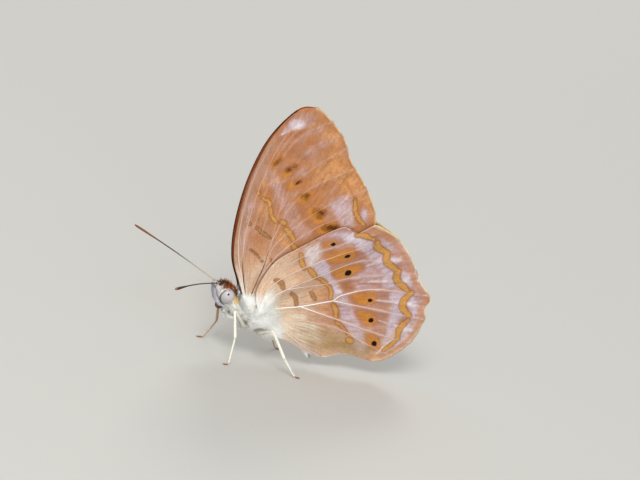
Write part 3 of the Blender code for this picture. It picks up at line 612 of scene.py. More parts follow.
def hindwing_y(points):
    """Outside the forewing where the two overlap, and back beside its twin beyond it."""
    from_root = np.linalg.norm(points - np.array(HW_COSTA[0]), axis=1)
    width = np.clip(1.0 + 0.28 * from_root, 1.0, 5.5)
    over = fade((-from_dorsum(points, True) - 0.45) / width, 0.0, 1.0)
    return forewing_middle(points) + (OVER - CLOSER) * over - 0.25 * (1.0 - over)


# Meshes


def sheet_faces(rows, columns, start=0, wrap=False, flip=False):
    """Quads of a grid numbered row by row; wrap joins the last column to the first."""
    index = np.arange(rows * columns).reshape(rows, columns) + start
    if wrap:
        index = np.hstack((index, index[:, :1]))
    quads = np.stack((index[:-1, :-1], index[:-1, 1:], index[1:, 1:], index[1:, :-1]), -1).reshape(-1, 4)
    return quads[:, ::-1] if flip else quads


SHEET_Y = {"forewing": forewing_y, "hindwing": hindwing_y}


def placed(flat, y):
    """Points of the animal from places of a flat pattern and their distance from its middle plane."""
    return np.column_stack((flat[:, 0], y, flat[:, 1]))


def ring_faces(rings, sides):
    """Quads between rings of points, and triangles that close both ends on the two points after them."""
    turn = np.arange(sides)
    after, count = (turn + 1) % sides, rings * sides
    first = np.column_stack((np.full(sides, count), after, turn))
    final = np.column_stack((np.full(sides, count + 1), count - sides + turn, count - sides + after))
    return sheet_faces(rings, sides, wrap=True), np.vstack((first, final))


def tube(path, radii, sides, reference, squash=1.0):
    """A round profile carried along a path and closed at both ends.

    Each ring is centre + radius * (cos a * n + squash * sin a * b), with n the part of the reference
    direction square to the path, and b square to both. Returns points, quads and triangles.
    """
    along = unit(np.gradient(path, axis=0))
    n = unit(reference - (along @ reference)[:, None] * along)
    b = np.cross(along, n)
    a = np.linspace(0.0, math.tau, sides, endpoint=False)[None, :, None]
    ring = np.cos(a) * n[:, None] + squash * np.sin(a) * b[:, None]
    points = (path[:, None] + radii[:, None, None] * ring).reshape(-1, 3)
    return (np.vstack((points, path[:1], path[-1:])), *ring_faces(len(path), sides))


def joined(parts):
    """Several (points, quads, triangles) as one."""
    starts = np.cumsum([0] + [len(points) for points, _, _ in parts[:-1]])
    moved = [(points, quads + k, triangles + k) for (points, quads, triangles), k in zip(parts, starts)]
    return [np.vstack(rows) for rows in zip(*moved)]


def volume(points, faces):
    """Six times the signed volume that fans of the faces enclose."""
    first = points[faces[:, 0]]
    total = 0.0
    for k in range(1, faces.shape[1] - 1):
        total += (first * np.cross(points[faces[:, k]], points[faces[:, k + 1]])).sum()
    return total


def add_piece(name, points, groups, finish, replaced=(), fields=None, colours=None, bake=None):
    """Makes one object of points in mm and arrays of quads or triangles, turned to face outwards.

    fields are numbers and colours are linear colours, one for each point; bake gives each point's
    place on the unwrap that the coat is baked by.
    """
    if sum(volume(points, group) for group in groups) < 0:
        groups = [group[:, ::-1] for group in groups]
    mesh = bpy.data.meshes.new(name)
    mesh.vertices.add(len(points))
    places = (points - (MIDDLE_X, 0.0, 0.0)) * MM
    mesh.vertices.foreach_set("co", places.astype(np.float32).ravel())
    corners = np.concatenate([group.ravel() for group in groups])
    widths = np.concatenate([np.full(len(group), group.shape[1]) for group in groups])
    mesh.loops.add(len(corners))
    mesh.loops.foreach_set("vertex_index", corners.astype(np.int32))
    mesh.polygons.add(len(widths))
    mesh.polygons.foreach_set("loop_start", (np.cumsum(widths) - widths).astype(np.int32))
    mesh.update(calc_edges=True)
    if mesh.validate():
        raise RuntimeError(f"{name} has faulty faces")
    for key, values in (fields or {}).items():
        layer = mesh.attributes.new(key, "FLOAT", "POINT")
        layer.data.foreach_set("value", np.asarray(values, np.float32))
    if colours is not None:
        layer = mesh.attributes.new("coat", "FLOAT_COLOR", "POINT")
        rows = np.column_stack((colours, np.ones(len(points))))
        layer.data.foreach_set("color", rows.astype(np.float32).ravel())
    if bake is None:
        mesh.shade_smooth()
    else:
        mesh.shade_flat()
        layer = mesh.uv_layers.new(name="OFBake")
        layer.data.foreach_set("uv", bake[corners].astype(np.float32).ravel())
    mesh.materials.append(finish)
    made = bpy.data.objects.new(name, mesh)
    bpy.context.scene.collection.objects.link(made)
    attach(made, "root")
    if replaced:
        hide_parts(*replaced)


# Strands: where the rings of a hair lie along it, and how wide each of them is
STRAND_STOPS = np.array((0.0, 0.4, 0.75))
STRAND_WIDTHS = np.array((0.75, 1.0, 0.62))
STRAND_FLAT = 0.25  # thickness of a hair as a share of its width
BAKE_PATCH = 0.003  # side of one hair's patch on the bake map
HAIR_LOW, CLAW_LOW = 0.01, 0.004  # how close hair and claws come to the floor


def strands(roots, along, out, lengths, widths, flat, curl, patches):
    """Many tapered hairs or scales at once, each a closed three-sided spike.

    A hair's line is root + length * (t * along + curl * t^2 * out). Its rings lie at STRAND_STOPS and
    its tip at t = 1. flat is its thickness as a share of its width. Returns points, triangles,
    each point's hair and each point's place on the bake map, a small patch at its own root's place.
    """
    count = len(roots)
    across = unit(np.cross(along, out))
    t = np.append(STRAND_STOPS, 1.0)[None, :, None]
    curl = np.broadcast_to(np.asarray(curl, float), (count,))[:, None, None]
    line = roots[:, None] + lengths[:, None, None] * (t * along[:, None] + curl * t**2 * out[:, None])
    turn = np.radians((90.0, 210.0, 330.0))[None, None, :, None]
    half = 0.5 * widths[:, None, None, None] * STRAND_WIDTHS[None, :, None, None]
    ring = np.cos(turn) * across[:, None, None] + flat * np.sin(turn) * out[:, None, None]
    rings = line[:, :3, None] + half * ring
    points = np.concatenate((rings.reshape(count, 9, 3), line[:, 3:]), axis=1)
    faces = [(0, 2, 1), (6, 7, 9), (7, 8, 9), (8, 6, 9)]
    for k in (0, 3):
        for a, b in ((0, 1), (1, 2), (2, 0)):
            faces += [(k + a, k + b, k + 3 + b), (k + a, k + 3 + b, k + 3 + a)]
    triangles = (np.array(faces)[None] + 10 * np.arange(count)[:, None, None]).reshape(-1, 3)
    place = np.array([(x, y) for y in (0.0, 0.4, 0.8) for x in (0.0, 0.5, 1.0)] + [(0.5, 1.0)])
    bake = (patches[:, None] + BAKE_PATCH * (place[None] - 0.5)).reshape(-1, 2)
    return points.reshape(-1, 3), triangles, np.repeat(np.arange(count), 10), bake


def unit(vectors):
    return vectors / np.maximum(np.linalg.norm(vectors, axis=-1, keepdims=True), 1e-9)


def add_strands(name, finish, slot, colours, *shape):
    """Makes one piece of strands, given as to strands, with a linear colour for each."""
    points, triangles, owner, bake = strands(*shape)
    points[:, 2] = np.maximum(points[:, 2], HAIR_LOW)
    add_piece(name, points, [triangles], finish, (), None, np.clip(colours, 0.0, 1.0)[owner], bake)


def on_map(across, up):
    """Places on the bake map, a little inside its edges, from shares of its width and height."""
    return 0.02 + 0.96 * np.column_stack((across, up))


def blend(low, high, share):
    """Between two linear colours, or rows of them, by a share for each point."""
    low, high = np.array(low), np.array(high)
    return low + (high - low) * np.asarray(share)[:, None]


def raised_from(flat, out, angle):
    """Unit directions that rise from flat towards out by an angle."""
    return flat * np.cos(angle)[:, None] + out * np.sin(angle)[:, None]


# Materials


def add_node(tree, kind, links=None, out=0, **settings):
    """Adds a node, sets its properties, gives each socket a value or a link, and returns one output."""
    node = tree.nodes.new("ShaderNode" + kind)
    for key, value in settings.items():
        setattr(node, key, value)
    for key, value in (links or {}).items():
        if isinstance(value, bpy.types.NodeSocket):
            tree.links.new(value, node.inputs[key])
        else:
            node.inputs[key].default_value = value
    return node.outputs[out]


MIX_SHARE, MIX_A, MIX_B, MIX_RESULT = 0, 6, 7, 2  # sockets of a Mix node that mixes colours


def new_finish(name, **values):
    """A material with a Principled shader; the values go straight to its sockets.

    Also returns its tree and the place in Object coordinates, or None twice if it was made before.
    """
    made = bpy.data.materials.get(name)
    if made:
        return made, None, None
    made = bpy.data.materials.new(name)
    made.use_nodes = True
    tree = made.node_tree
    for key, value in values.items():
        tree.nodes["Principled BSDF"].inputs[key.replace("_", " ")].default_value = value
    return made, tree, add_node(tree, "TexCoord", out="Object")


def end_finish(tree, colour, shade, height, strength, depth, invert=False):
    """Gives the shader its colour, times a shade if there is one, and a bump of a depth in mm."""
    shader = tree.nodes["Principled BSDF"]
    if shade is not None:
        grey = add_node(tree, "CombineColor", {"Red": shade, "Green": shade, "Blue": shade})
        mixed = {MIX_SHARE: 1.0, MIX_A: colour, MIX_B: grey}
        colour = add_node(tree, "Mix", mixed, MIX_RESULT, data_type="RGBA", blend_type="MULTIPLY")
    tree.links.new(colour, shader.inputs["Base Color"])
    bump = {"Height": height, "Strength": strength, "Distance": depth * MM}
    tree.links.new(add_node(tree, "Bump", bump, invert=invert), shader.inputs["Normal"])


def rgba(colour):
    return (*colour, 1.0)


def per_metre(millimetres):
    """Scale of a texture in Object coordinates whose grain has this size."""
    return 1.0 / (millimetres * MM)


def wing_finish(wings):
    """Wing scales: rows of flat chitin scales, so matt, with a faint silky sheen along the rows."""
    made, tree, place = new_finish("scaled_membrane", Roughness=0.6, Specular_IOR_Level=0.12)
    if tree is None:
        return made
    fine = {"Vector": place, "Scale": per_metre(0.55), "Detail": 3.0, "Roughness": 0.6}
    noise = add_node(tree, "TexNoise", fine)
    # Scales lie in files along the rays of the wing, so shades run out in streaks from its root
    run = add_node(tree, "Attribute", out="Fac", attribute_name="run")
    ray = add_node(tree, "Attribute", out="Fac", attribute_name="ray")
    ray = add_node(tree, "Math", {0: ray, 1: 46.0}, operation="MULTIPLY")
    along = add_node(tree, "Math", {0: run, 1: 0.42}, operation="MULTIPLY")
    fan = add_node(tree, "CombineXYZ", {"X": ray, "Y": along})
    streak = add_node(tree, "TexNoise", {"Vector": fan, "Scale": 1.0, "Detail": 3.0})
    noise = add_node(tree, "Math", {0: noise, 1: streak}, operation="ADD")
    spread = {"Value": noise, "From Min": 0.76, "From Max": 1.24, "To Min": -1.0, "To Max": 1.0}
    wander = add_node(tree, "MapRange", spread)
    # The ground itself drifts between a pinker and a warmer brown
    colour = rgba(wings.ground)
    for key, grain, detail in (("ground_warm", 4.2, 3.0), ("ground_pink", 3.1, 4.0)):
        clouds = {"Vector": place, "Scale": per_metre(grain), "Detail": detail, "Distortion": 0.4}
        drift = add_node(tree, "TexNoise", clouds)
        ends = {"Value": drift, "From Min": 0.44, "From Max": 0.66, "To Max": 0.75}
        share = add_node(tree, "MapRange", ends)
        mixed = {MIX_SHARE: share, MIX_A: colour, MIX_B: rgba(getattr(wings, key))}
        colour = add_node(tree, "Mix", mixed, MIX_RESULT, data_type="RGBA")
    for field, key, low, high, stray, strength in WING_LAYERS:
        value = add_node(tree, "Attribute", out="Fac", attribute_name=field)
        if field in CRISP:
            value = add_node(tree, "Math", {0: wander, 1: stray, 2: value}, operation="MULTIPLY_ADD")
        else:
            uneven = add_node(tree, "Math", {0: wander, 1: stray, 2: 1.0}, operation="MULTIPLY_ADD")
            value = add_node(tree, "Math", {0: value, 1: uneven}, operation="MULTIPLY")
        ends = {"Value": value, "From Min": low, "From Max": high, "To Max": strength}
        share = add_node(tree, "MapRange", ends, interpolation_type="SMOOTHSTEP")
        mixed = {MIX_SHARE: share, MIX_A: colour, MIX_B: rgba(getattr(wings, key))}
        colour = add_node(tree, "Mix", mixed, MIX_RESULT, data_type="RGBA")
    # Single scales differ in shade; the real ones are 0.06 mm wide, drawn here at 0.16 mm to show
    cells = add_node(tree, "TexVoronoi", {"Vector": place, "Scale": per_metre(0.16)}, feature="F1").node
    value = add_node(tree, "MapRange", {"Value": cells.outputs["Color"], "To Min": 0.74, "To Max": 0.98})
    cloud = add_node(tree, "TexNoise", {"Vector": place, "Scale": per_metre(2.6), "Detail": 2.0})
    for source, low, high in ((cloud, 0.92, 1.07), (streak, 0.88, 1.10)):
        spread = {"Value": source, "From Min": 0.3, "From Max": 0.7, "To Min": low, "To Max": high}
        shade = add_node(tree, "MapRange", spread)
        value = add_node(tree, "Math", {0: value, 1: shade}, operation="MULTIPLY")
    # Rows of scales cross the wing every 0.24 mm, twice as coarse as real ones so that they show
    turn = add_node(tree, "Math", {0: run, 1: math.tau / 0.24}, operation="MULTIPLY")
    turn = add_node(tree, "Math", {0: wander, 1: 2.2, 2: turn}, operation="MULTIPLY_ADD")
    rows = {0: add_node(tree, "Math", {0: turn}, operation="SINE"), 1: 0.35, 2: cells.outputs["Distance"]}
    height = add_node(tree, "Math", rows, operation="MULTIPLY_ADD")
    end_finish(tree, colour, value, height, 0.22, 0.05)
    return made


# Layers of the wing's colour: field, colour, where it starts and is full, how far noise moves that,
# and its strength
CRISP = ("ochre", "brown", "bar", "black", "upper", "upper_dark")
WING_LAYERS = (
    ("hind", "hind_pink", 0.0, 1.0, 0.35, 0.85),
    ("grey", "costal_grey", 0.0, 1.0, 0.55, 0.65),
    ("tan", "inner_tan", 0.0, 1.0, 0.20, 0.95),
    ("olive", "olive", 0.0, 1.0, 0.35, 0.85),
    ("orange", "orange", 0.0, 1.0, 0.75, 0.90),
    ("rust", "rust", 0.0, 1.0, 0.60, 0.85),
    ("cream", "cream", 0.0, 1.0, 0.20, 0.72),
    ("vein", "vein_side", 0.0, 1.0, 0.20, 0.75),
    # Lilac and silver: partly the scales' own colour, partly their iridescent sheen painted in as colour
    ("lilac_and_sheen", "lilac_and_sheen", 0.0, 1.0, 0.36, 0.92),
    ("halo", "halo_red", 0.0, 0.75, 0.45, 0.80),
    ("halo", "halo", 0.42, 1.0, 0.35, 0.85),
    ("silver_and_sheen", "silver_and_sheen", 0.0, 1.0, 0.28, 0.85),
    # painted highlight on the hindwing's folds and rims
    ("fold_highlight", "fold_highlight_white", 0.05, 1.0, 0.30, 0.80),
    ("smudge", "brown", 0.0, 0.9, 0.55, 0.80),
    ("dusk", "dusk", 0.1, 1.0, 0.60, 0.85),
    ("ochre", "ochre_rim", -0.36, -0.02, 0.12, 0.80),
    ("ochre", "ochre", -0.12, 0.14, 0.10, 0.94),
    ("brown", "brown", -0.26, 0.16, 0.16, 0.80),
    ("bar", "brown", -0.20, 0.02, 0.14, 0.72),
    ("bar", "bar_tawny", 0.02, 0.24, 0.12, 0.80),
    ("black", "black", -0.12, 0.05, 0.07, 1.0),
    # white of the root hair, partly painted glare
    ("white_root_and_glare", "root_white_and_glare", 0.10, 0.90, 0.20, 0.97),
    ("line", "margin_line", 0.0, 1.0, 0.25, 0.75),
    ("costal", "costal_dark", 0.0, 1.0, 0.05, 0.95),
    ("upper", "upper_orange", 0.4, 0.6, 0.0, 1.0),
    ("upper_dark", "upper_dark", 0.4, 0.8, 0.08, 1.0),
    ("edge", "edge_cream", 0.0, 1.0, 0.10, 0.85),
)


def vein_finish(wings):
    """Wing veins: hollow chitin tubes under short pale scales, dark and bare near the forewing's root."""
    made, tree, place = new_finish("vein_cuticle", Roughness=0.5, Specular_IOR_Level=0.35)
    if tree is None:
        return made
    near = add_node(tree, "Attribute", out="Fac", attribute_name="near")
    beside = {MIX_SHARE: near, MIX_A: rgba(wings.ground), MIX_B: rgba(wings.inner_tan)}
    beside = add_node(tree, "Mix", beside, MIX_RESULT, data_type="RGBA")
    colour = rgba(wings.vein_pale)
    layers = (("stem", rgba(wings.vein_dark)), ("bright", rgba(wings.root_white_and_glare)), ("faded", beside))
    for field, other in layers:
        share = add_node(tree, "Attribute", out="Fac", attribute_name=field)
        mixed = {MIX_SHARE: share, MIX_A: colour, MIX_B: other}
        colour = add_node(tree, "Mix", mixed, MIX_RESULT, data_type="RGBA")
    grain = add_node(tree, "TexNoise", {"Vector": place, "Scale": per_metre(0.12), "Detail": 2.0})
    end_finish(tree, colour, None, grain, 0.3, 0.03)
    return made


def coat_finish(name, roughness, grain, depth, speckle, **values):
    """Hair or scales coloured by the coat attribute that skin and coat share."""
    made, tree, place = new_finish(name, Roughness=roughness, **values)
    if tree is None:
        return made
    coat = add_node(tree, "Attribute", out="Color", attribute_name="coat")
    noise = add_node(tree, "TexNoise", {"Vector": place, "Scale": per_metre(grain), "Detail": 3.0})
    low, high = 1.0 - speckle, 1.0 + speckle
    spread = {"Value": noise, "From Min": 0.3, "From Max": 0.7, "To Min": low, "To Max": high}
    end_finish(tree, coat, add_node(tree, "MapRange", spread), noise, 0.4, depth)
    return made


def hair_finish():
    """Fur and silky wing hair: fine, flattened and overlapping, with a soft shine along them."""
    return coat_finish("soft_hair", 0.55, 0.4, 0.005, 0.04, Specular_IOR_Level=0.25)


def eye_finish(head):
    """Compound eye: hundreds of smooth clear lenses over grey pigment, so glossy with a fine grain."""
    made, tree, place = new_finish("compound_eye", Roughness=0.35, Specular_IOR_Level=0.4, Coat_Weight=0.15)
    if tree is None:
        return made
    facets = add_node(tree, "TexVoronoi", {"Vector": place, "Scale": per_metre(0.075)}, feature="F1").node
    colour = rgba(head.eye)
    # Painted shade over the eye's lower half, then the eye's dark spot and rim
    for field, key, strength in (("shade", "eye_painted_shade", 0.75), ("pupil", "eye_dark", 1.0)):
        value = add_node(tree, "Attribute", out="Fac", attribute_name=field)
        share = add_node(tree, "Math", {0: value, 1: strength}, operation="MULTIPLY")
        mixed = {MIX_SHARE: share, MIX_A: colour, MIX_B: rgba(getattr(head, key))}
        colour = add_node(tree, "Mix", mixed, MIX_RESULT, data_type="RGBA")
    speck = add_node(tree, "MapRange", {"Value": facets.outputs["Color"], "To Min": 0.86, "To Max": 1.06})
    end_finish(tree, colour, speck, facets.outputs["Distance"], 0.5, 0.02, invert=True)
    return made


def floor_finish(stage):
    """Matt painted board: pale, even and without gloss."""
    paint = rgba(stage.floor)
    return new_finish("painted_board", Roughness=0.85, Specular_IOR_Level=0.2, Base_Color=paint)[0]


# Wings


def patch_sides(knots, corners, counts):
    """The closed curve through the knots, cut at four of them into sides of even stops."""
    fine = catmull_rom(knots, closed=True)
    sides = []
    for first, last, count in zip(corners, corners[1:] + corners[:1], counts * 2):
        start, end = first * 24, last * 24
        run = fine[start : end + 1] if end > start else np.vstack((fine[start:], fine[: end + 1]))
        sides.append(even_stops(run, count))
    return sides


def coons(front, outer, hind, root):
    """A grid that fills four sides: the sum of its two ruled sheets less the one its corners span."""
    low, high = hind[::-1], front
    left, right = root, outer[::-1]
    u = np.linspace(0.0, 1.0, len(high))[:, None, None]
    v = np.linspace(0.0, 1.0, len(left))[None, :, None]
    ruled = (1 - v) * low[:, None] + v * high[:, None] + (1 - u) * left[None] + u * right[None]
    span = (1 - u) * ((1 - v) * low[0] + v * high[0]) + u * ((1 - v) * low[-1] + v * high[-1])
    return ruled - span


def wing_grid(kind):
    """The flat pattern of a wing: a grid of (x, z) from its root outwards, and from hind to front edge."""
    if kind == "forewing":
        knots = (*FW_COSTA, *FW_TERMEN, *FW_DORSUM, *FW_ROOT)
        corners = [0, len(FW_COSTA), len(FW_COSTA) + len(FW_TERMEN), len(knots) - 2]
        counts = [176, 116]
    else:
        knots = (*HW_COSTA, *HW_TERMEN, *HW_INNER)
        corners = [0, len(HW_COSTA) - 1, len(knots) - len(HW_INNER), len(knots) - 1]
        counts = [142, 142]
    front, outer, hind, root = patch_sides(knots, corners, counts)
    along = unit(np.gradient(outer, axis=0))
    share = np.linspace(0.0, 1.0, len(outer))
    inward = np.column_stack((along[:, 1], -along[:, 0])) * (np.sin(math.pi * share) ** 0.4)[:, None]
    return coons(front, outer + INSET * inward, hind, root)


def wing_fields(kind, flat, to_vein):
    """Every mark and shade of the underside, and the upper side's dark rim, over the flat pattern."""
    fore = kind == "forewing"
    fields = {key: inside_marks(flat, rows) for key, rows in MARKS[kind].items()}
    for key, rows in STROKES[kind].items():
        soft = SOFTER if key in ("halo", "silver_and_sheen") else SOFT
        fields[key] = soft_marks(flat, rows, AREAS[kind].get(key, ()), soft)
    x, z = flat.T
    root = np.array(RAY_ROOTS[kind])
    reach = np.linalg.norm(flat - root, axis=1)
    outer, front = (distance_to(flat, catmull_rom(edges[kind], 8)) for edges in (OUTER_EDGES, FRONT_EDGES))
    # The ochre marks stop short of the veins, with less of a gap on the outer part of the hindwing
    gap = 0.10 if fore else 0.30 - 0.20 * step_up(reach, 18.0, 20.0)
    fields["ochre"] = np.minimum(fields["ochre"] + 0.06 * ripple(flat, 1.3, SEED + 6), 2.2 * to_vein - gap)
    fields["run"] = reach
    fields["ray"] = np.arctan2(z - root[1], x - root[0])
    fields["vein"] = (0.40 if fore else 1.0) * fade(to_vein, 0.10, 0.42) * step_up(reach, 3.0, 9.0)
    for key in ("grey", "hind", "fold_highlight", "costal"):
        fields[key] = 0.0 * reach
    if fore:
        fields["grey"] = fade(front, 0.6, 2.4) * fade(z, 34.0, 42.0)
        fields["tan"] = 0.55 * fade(z, 12.0, 26.0)
        # The root's white: partly its white hair, partly painted glare where that hair is lit brightest
        white_rim = 0.6 * fade(front, 0.3, 1.1) * fade(reach, 3.0, 12.0)
        fields["white_root_and_glare"] = np.maximum(fade(reach, 0.4, 2.6), white_rim)
        fields["line"] = 0.25 * step_up(outer, 0.5, 0.8) * fade(outer, 1.0, 1.4)
        fields["costal"] = 0.7 * fade(front, 0.02, 0.16) * step_up(z, 10.5, 14.0)
        fields["edge"] = 0.35 * fade(outer, INSET, INSET + 0.2)
        fields["upper_dark"] = fade(front, 0.06, 0.3)
        return fields
    degrees = np.degrees(fields["ray"])
    fields["hind"] = 0.2 + 0.8 * step_up(reach, 13.0, 22.0)
    fields["tan"] = np.maximum(0.88 * fade(reach, 6.0, 18.0), 0.6 * fade(z - 0.25 * x, 0.8, 4.4))
    limit = 4.6 + 5.0 * hump(degrees, -14.0, 13.0)
    # The root's white, partly painted glare
    fields["white_root_and_glare"] = fade(reach, 0.35 * limit, limit)
    # Cream hairs lie in bundles that fan out from the root below the lowest bright vein
    noise = ripple(flat, 3.0, SEED)
    fan = step_up(degrees, -44.0, -34.0) * fade(degrees, -6.0, 2.0) * step_up(reach, 2.0, 5.0)
    bundles = step_up(ripple(np.column_stack((0.55 * degrees, 0.05 * reach)), 1.0, SEED + 8), -0.3, 0.4)
    fan *= (0.45 + 0.65 * bundles) * fade(reach + 2.0 * noise, 8.0, 19.0)
    fields["cream"] = np.maximum(fields["cream"], fan)
    # Painted highlight: white in patches on the folds, on the rim and on the short fold by the hind corner,
    # where they catch light
    folds = np.max([tapered(flat, line, 0.56) for line in HW_FOLDS], axis=0)
    tornus, inner = (distance_to(flat, catmull_rom(line, 8)) for line in (HW_TORNUS_FOLD, HW_INNER))
    whites = (
        np.clip(0.75 + 0.6 * noise, 0.2, 1.0) * folds,
        0.7 * fade(tornus, 0.08, 0.3),
        0.8 * fade(inner, 0.08, 0.26) * fade(x, 16.0, 29.0),
        0.6 * fade(front, 0.06, 0.18) * step_up(reach, 4.0, 8.0),
    )
    fields["fold_highlight"] = np.max(whites, axis=0)
    fields["line"] = step_up(outer, 0.42, 0.66) * fade(outer, 1.05, 1.4)
    fields["edge"] = 0.6 * fade(outer, INSET, INSET + 0.22)
    fields["upper_dark"] = fade(outer, 1.2, 2.4) * step_up(outer, 0.4, 0.8)
    return fields


def make_wing(kind, word, side, wings):
    """A closed thin shell: the flat pattern carried out to both faces, with pleats between the veins."""
    grid = wing_grid(kind)
    rows, columns = grid.shape[:2]
    flat = grid.reshape(-1, 2)
    to_vein = np.min([distance_to(flat, catmull_rom(line, 5)) for line, _, _ in VEINS[kind]], axis=0)
    to_rim = distance_to(flat, wing_rim(kind))
    pleat = PLEAT * step_up(to_vein, 0.0, 1.3) * step_up(to_rim, 0.0, 1.2)
    for line in HW_FOLDS if kind == "hindwing" else ():
        pleat -= FOLD_DEEP * fade(distance_to(flat, line), 0.0, 0.7) * step_up(to_rim, 0.0, 0.8)
    sheet = SHEET_Y[kind](flat) - pleat + sheet_wave(flat, to_rim)
    edge, field = wings.sheet_edge / MM, wings.sheet / MM
    half = 0.5 * (edge + (field - edge) * step_up(to_rim, 0.0, 0.9))
    points = np.vstack([placed(flat, side * y) for y in (sheet + half, sheet - half)])
    count = len(flat)
    index = np.arange(count).reshape(rows, columns)
    ring = np.concatenate((index[:-1, 0], index[-1, :-1], index[:0:-1, -1], index[0, :0:-1]))
    after = np.roll(ring, -1)
    strip = np.column_stack((ring, after, after + count, ring + count))
    faces = (sheet_faces(rows, columns), sheet_faces(rows, columns, count, flip=True))
    # The rim strip is turned the way in which the shell encloses the most
    ways = [np.vstack((*faces, way)) for way in (strip, strip[:, ::-1])]
    quads = max(ways, key=lambda way: abs(volume(points, way)))
    under = wing_fields(kind, flat, to_vein)
    dark = under.pop("upper_dark")
    fields = {key: np.concatenate((value, 0.0 * value)) for key, value in under.items()}
    for key in MARKS[kind]:
        fields[key][count:] = -1.0
    fields["edge"] = np.tile(under["edge"], 2)
    fields["upper"] = np.repeat((0.0, 1.0), count)
    fields["upper_dark"] = np.concatenate((0.0 * dark, dark))
    name, hidden = f"{kind}_scales_{word}", (f"{kind}_{word}",)
    add_piece(name, points, [quads], wing_finish(wings), hidden, fields)


def sheet_wave(flat, to_rim):
    """The sheet's slight unevenness: a ripple of the height WAVE that dies out at the rim."""
    return WAVE * ripple(flat, 2.4, SEED + 1) * step_up(to_rim, 0.0, 2.0)


def make_veins(kind, word, side, wings):
    """The veins as thin tubes half sunk in both faces of the sheet, stopped at the fringe."""
    rim = wing_rim(kind)
    parts, fields = [], {"stem": [], "bright": [], "faded": [], "near": []}
    for index, (knots, thick, thin) in enumerate(VEINS[kind]):
        line = catmull_rom(knots)
        line = even_stops(line, max(12, int(run_along(line)[-1] / VEIN_STOP)))
        line = line[distance_to(line, rim) > VEIN_CLEAR]
        path = placed(line, side * (SHEET_Y[kind](line) + sheet_wave(line, distance_to(line, rim))))
        share = np.linspace(0.0, 1.0, len(line))
        radii = VEIN_GIRTH * (thick + (thin - thick) * share)
        parts.append(tube(path, radii, VEIN_SIDES, (0.0, 1.0, 0.0), 0.9))
        stem = fade(share, *VEIN_STEMS.get((kind, index), NO_STEM))
        bright = fade(share, *VEIN_BRIGHT.get((kind, index), SHORT_BRIGHT))
        faded = np.full(len(line), 0.72 if kind == "forewing" else 0.1)
        if (kind, index) in VEIN_FADED:
            out_at = VEIN_FADED[kind, index]
            faded += 0.8 * fade(share, out_at - 0.15, out_at + 0.15)
            bright = 0.0 * share
        near = fade(np.linalg.norm(line - (3.0, 9.0), axis=1), 7.0, 19.0)
        for key, values in zip(fields, (stem, bright * (1.0 - stem), faded * (1.0 - stem), near)):
            fields[key].append(np.append(np.repeat(values, VEIN_SIDES), (values[0], values[-1])))
    points, *faces = joined(parts)
    fields = {key: np.concatenate(rows) for key, rows in fields.items()}
    add_piece(f"{kind}_veins_{word}", points, faces, vein_finish(wings), (), fields)


def make_fringe(kind, word, side, wings):
    """Fringe scales: narrow flat blades in three ranks, rooted in the outer edge and pointing out of it."""
    fore = kind == "forewing"
    rng = np.random.default_rng(SEED + fore)
    line = even_stops(wing_grid(kind)[-1], FRINGE_COUNTS[kind])
    along = unit(np.gradient(line, axis=0))
    out = np.column_stack((-along[:, 1], along[:, 0]))
    if ((line - line.mean(0)) * out).sum() < 0:
        out = -out
    count = len(line)
    rank = np.arange(count) % 3
    roots = placed(line - FRINGE_SUNK * out, side * (SHEET_Y[kind](line) + (rank - 1) * RANK_GAP))
    lean = out + rng.normal(0.0, 0.14, count)[:, None] * along
    direction = unit(placed(lean, rng.normal(0.0, 0.04, count)))
    face = np.tile((0.0, side, 0.0), (count, 1))
    ends = np.array([knots[-1] for knots, _, _ in VEINS[kind]])
    to_end = np.linalg.norm(line[:, None] - ends[None], axis=2).min(1)
    lengths = wings.fringe_length / MM * rng.uniform(0.85, 1.15, count) + 0.02 * rank
    share = np.linspace(0.0, 1.0, count)
    patches = np.column_stack((0.02 + 0.96 * share, 0.2 + 0.3 * rank))
    widths = rng.uniform(0.08, 0.12, count)
    lower = 0.35 + 0.0 * share if fore else 0.65 * fade(line[:, 1], 5.0, 15.0)
    dark = np.maximum(0.8 * fade(to_end, 0.35, 1.0), lower + 0.35 * ripple(line, 1.9, SEED + 5))
    colours = blend(wings.edge_cream, wings.rust, np.clip(dark, 0.0, 0.9))
    colours = colours * rng.uniform(0.9, 1.08, (count, 1))
    finish = coat_finish("fringe_scales", 0.6, 0.3, 0.01, 0.05)
    shape = (roots, direction, face, lengths, widths, 0.2, 0.0, patches)
    add_strands(f"{kind}_fringe_{word}", finish, "wing_scales", colours, *shape)


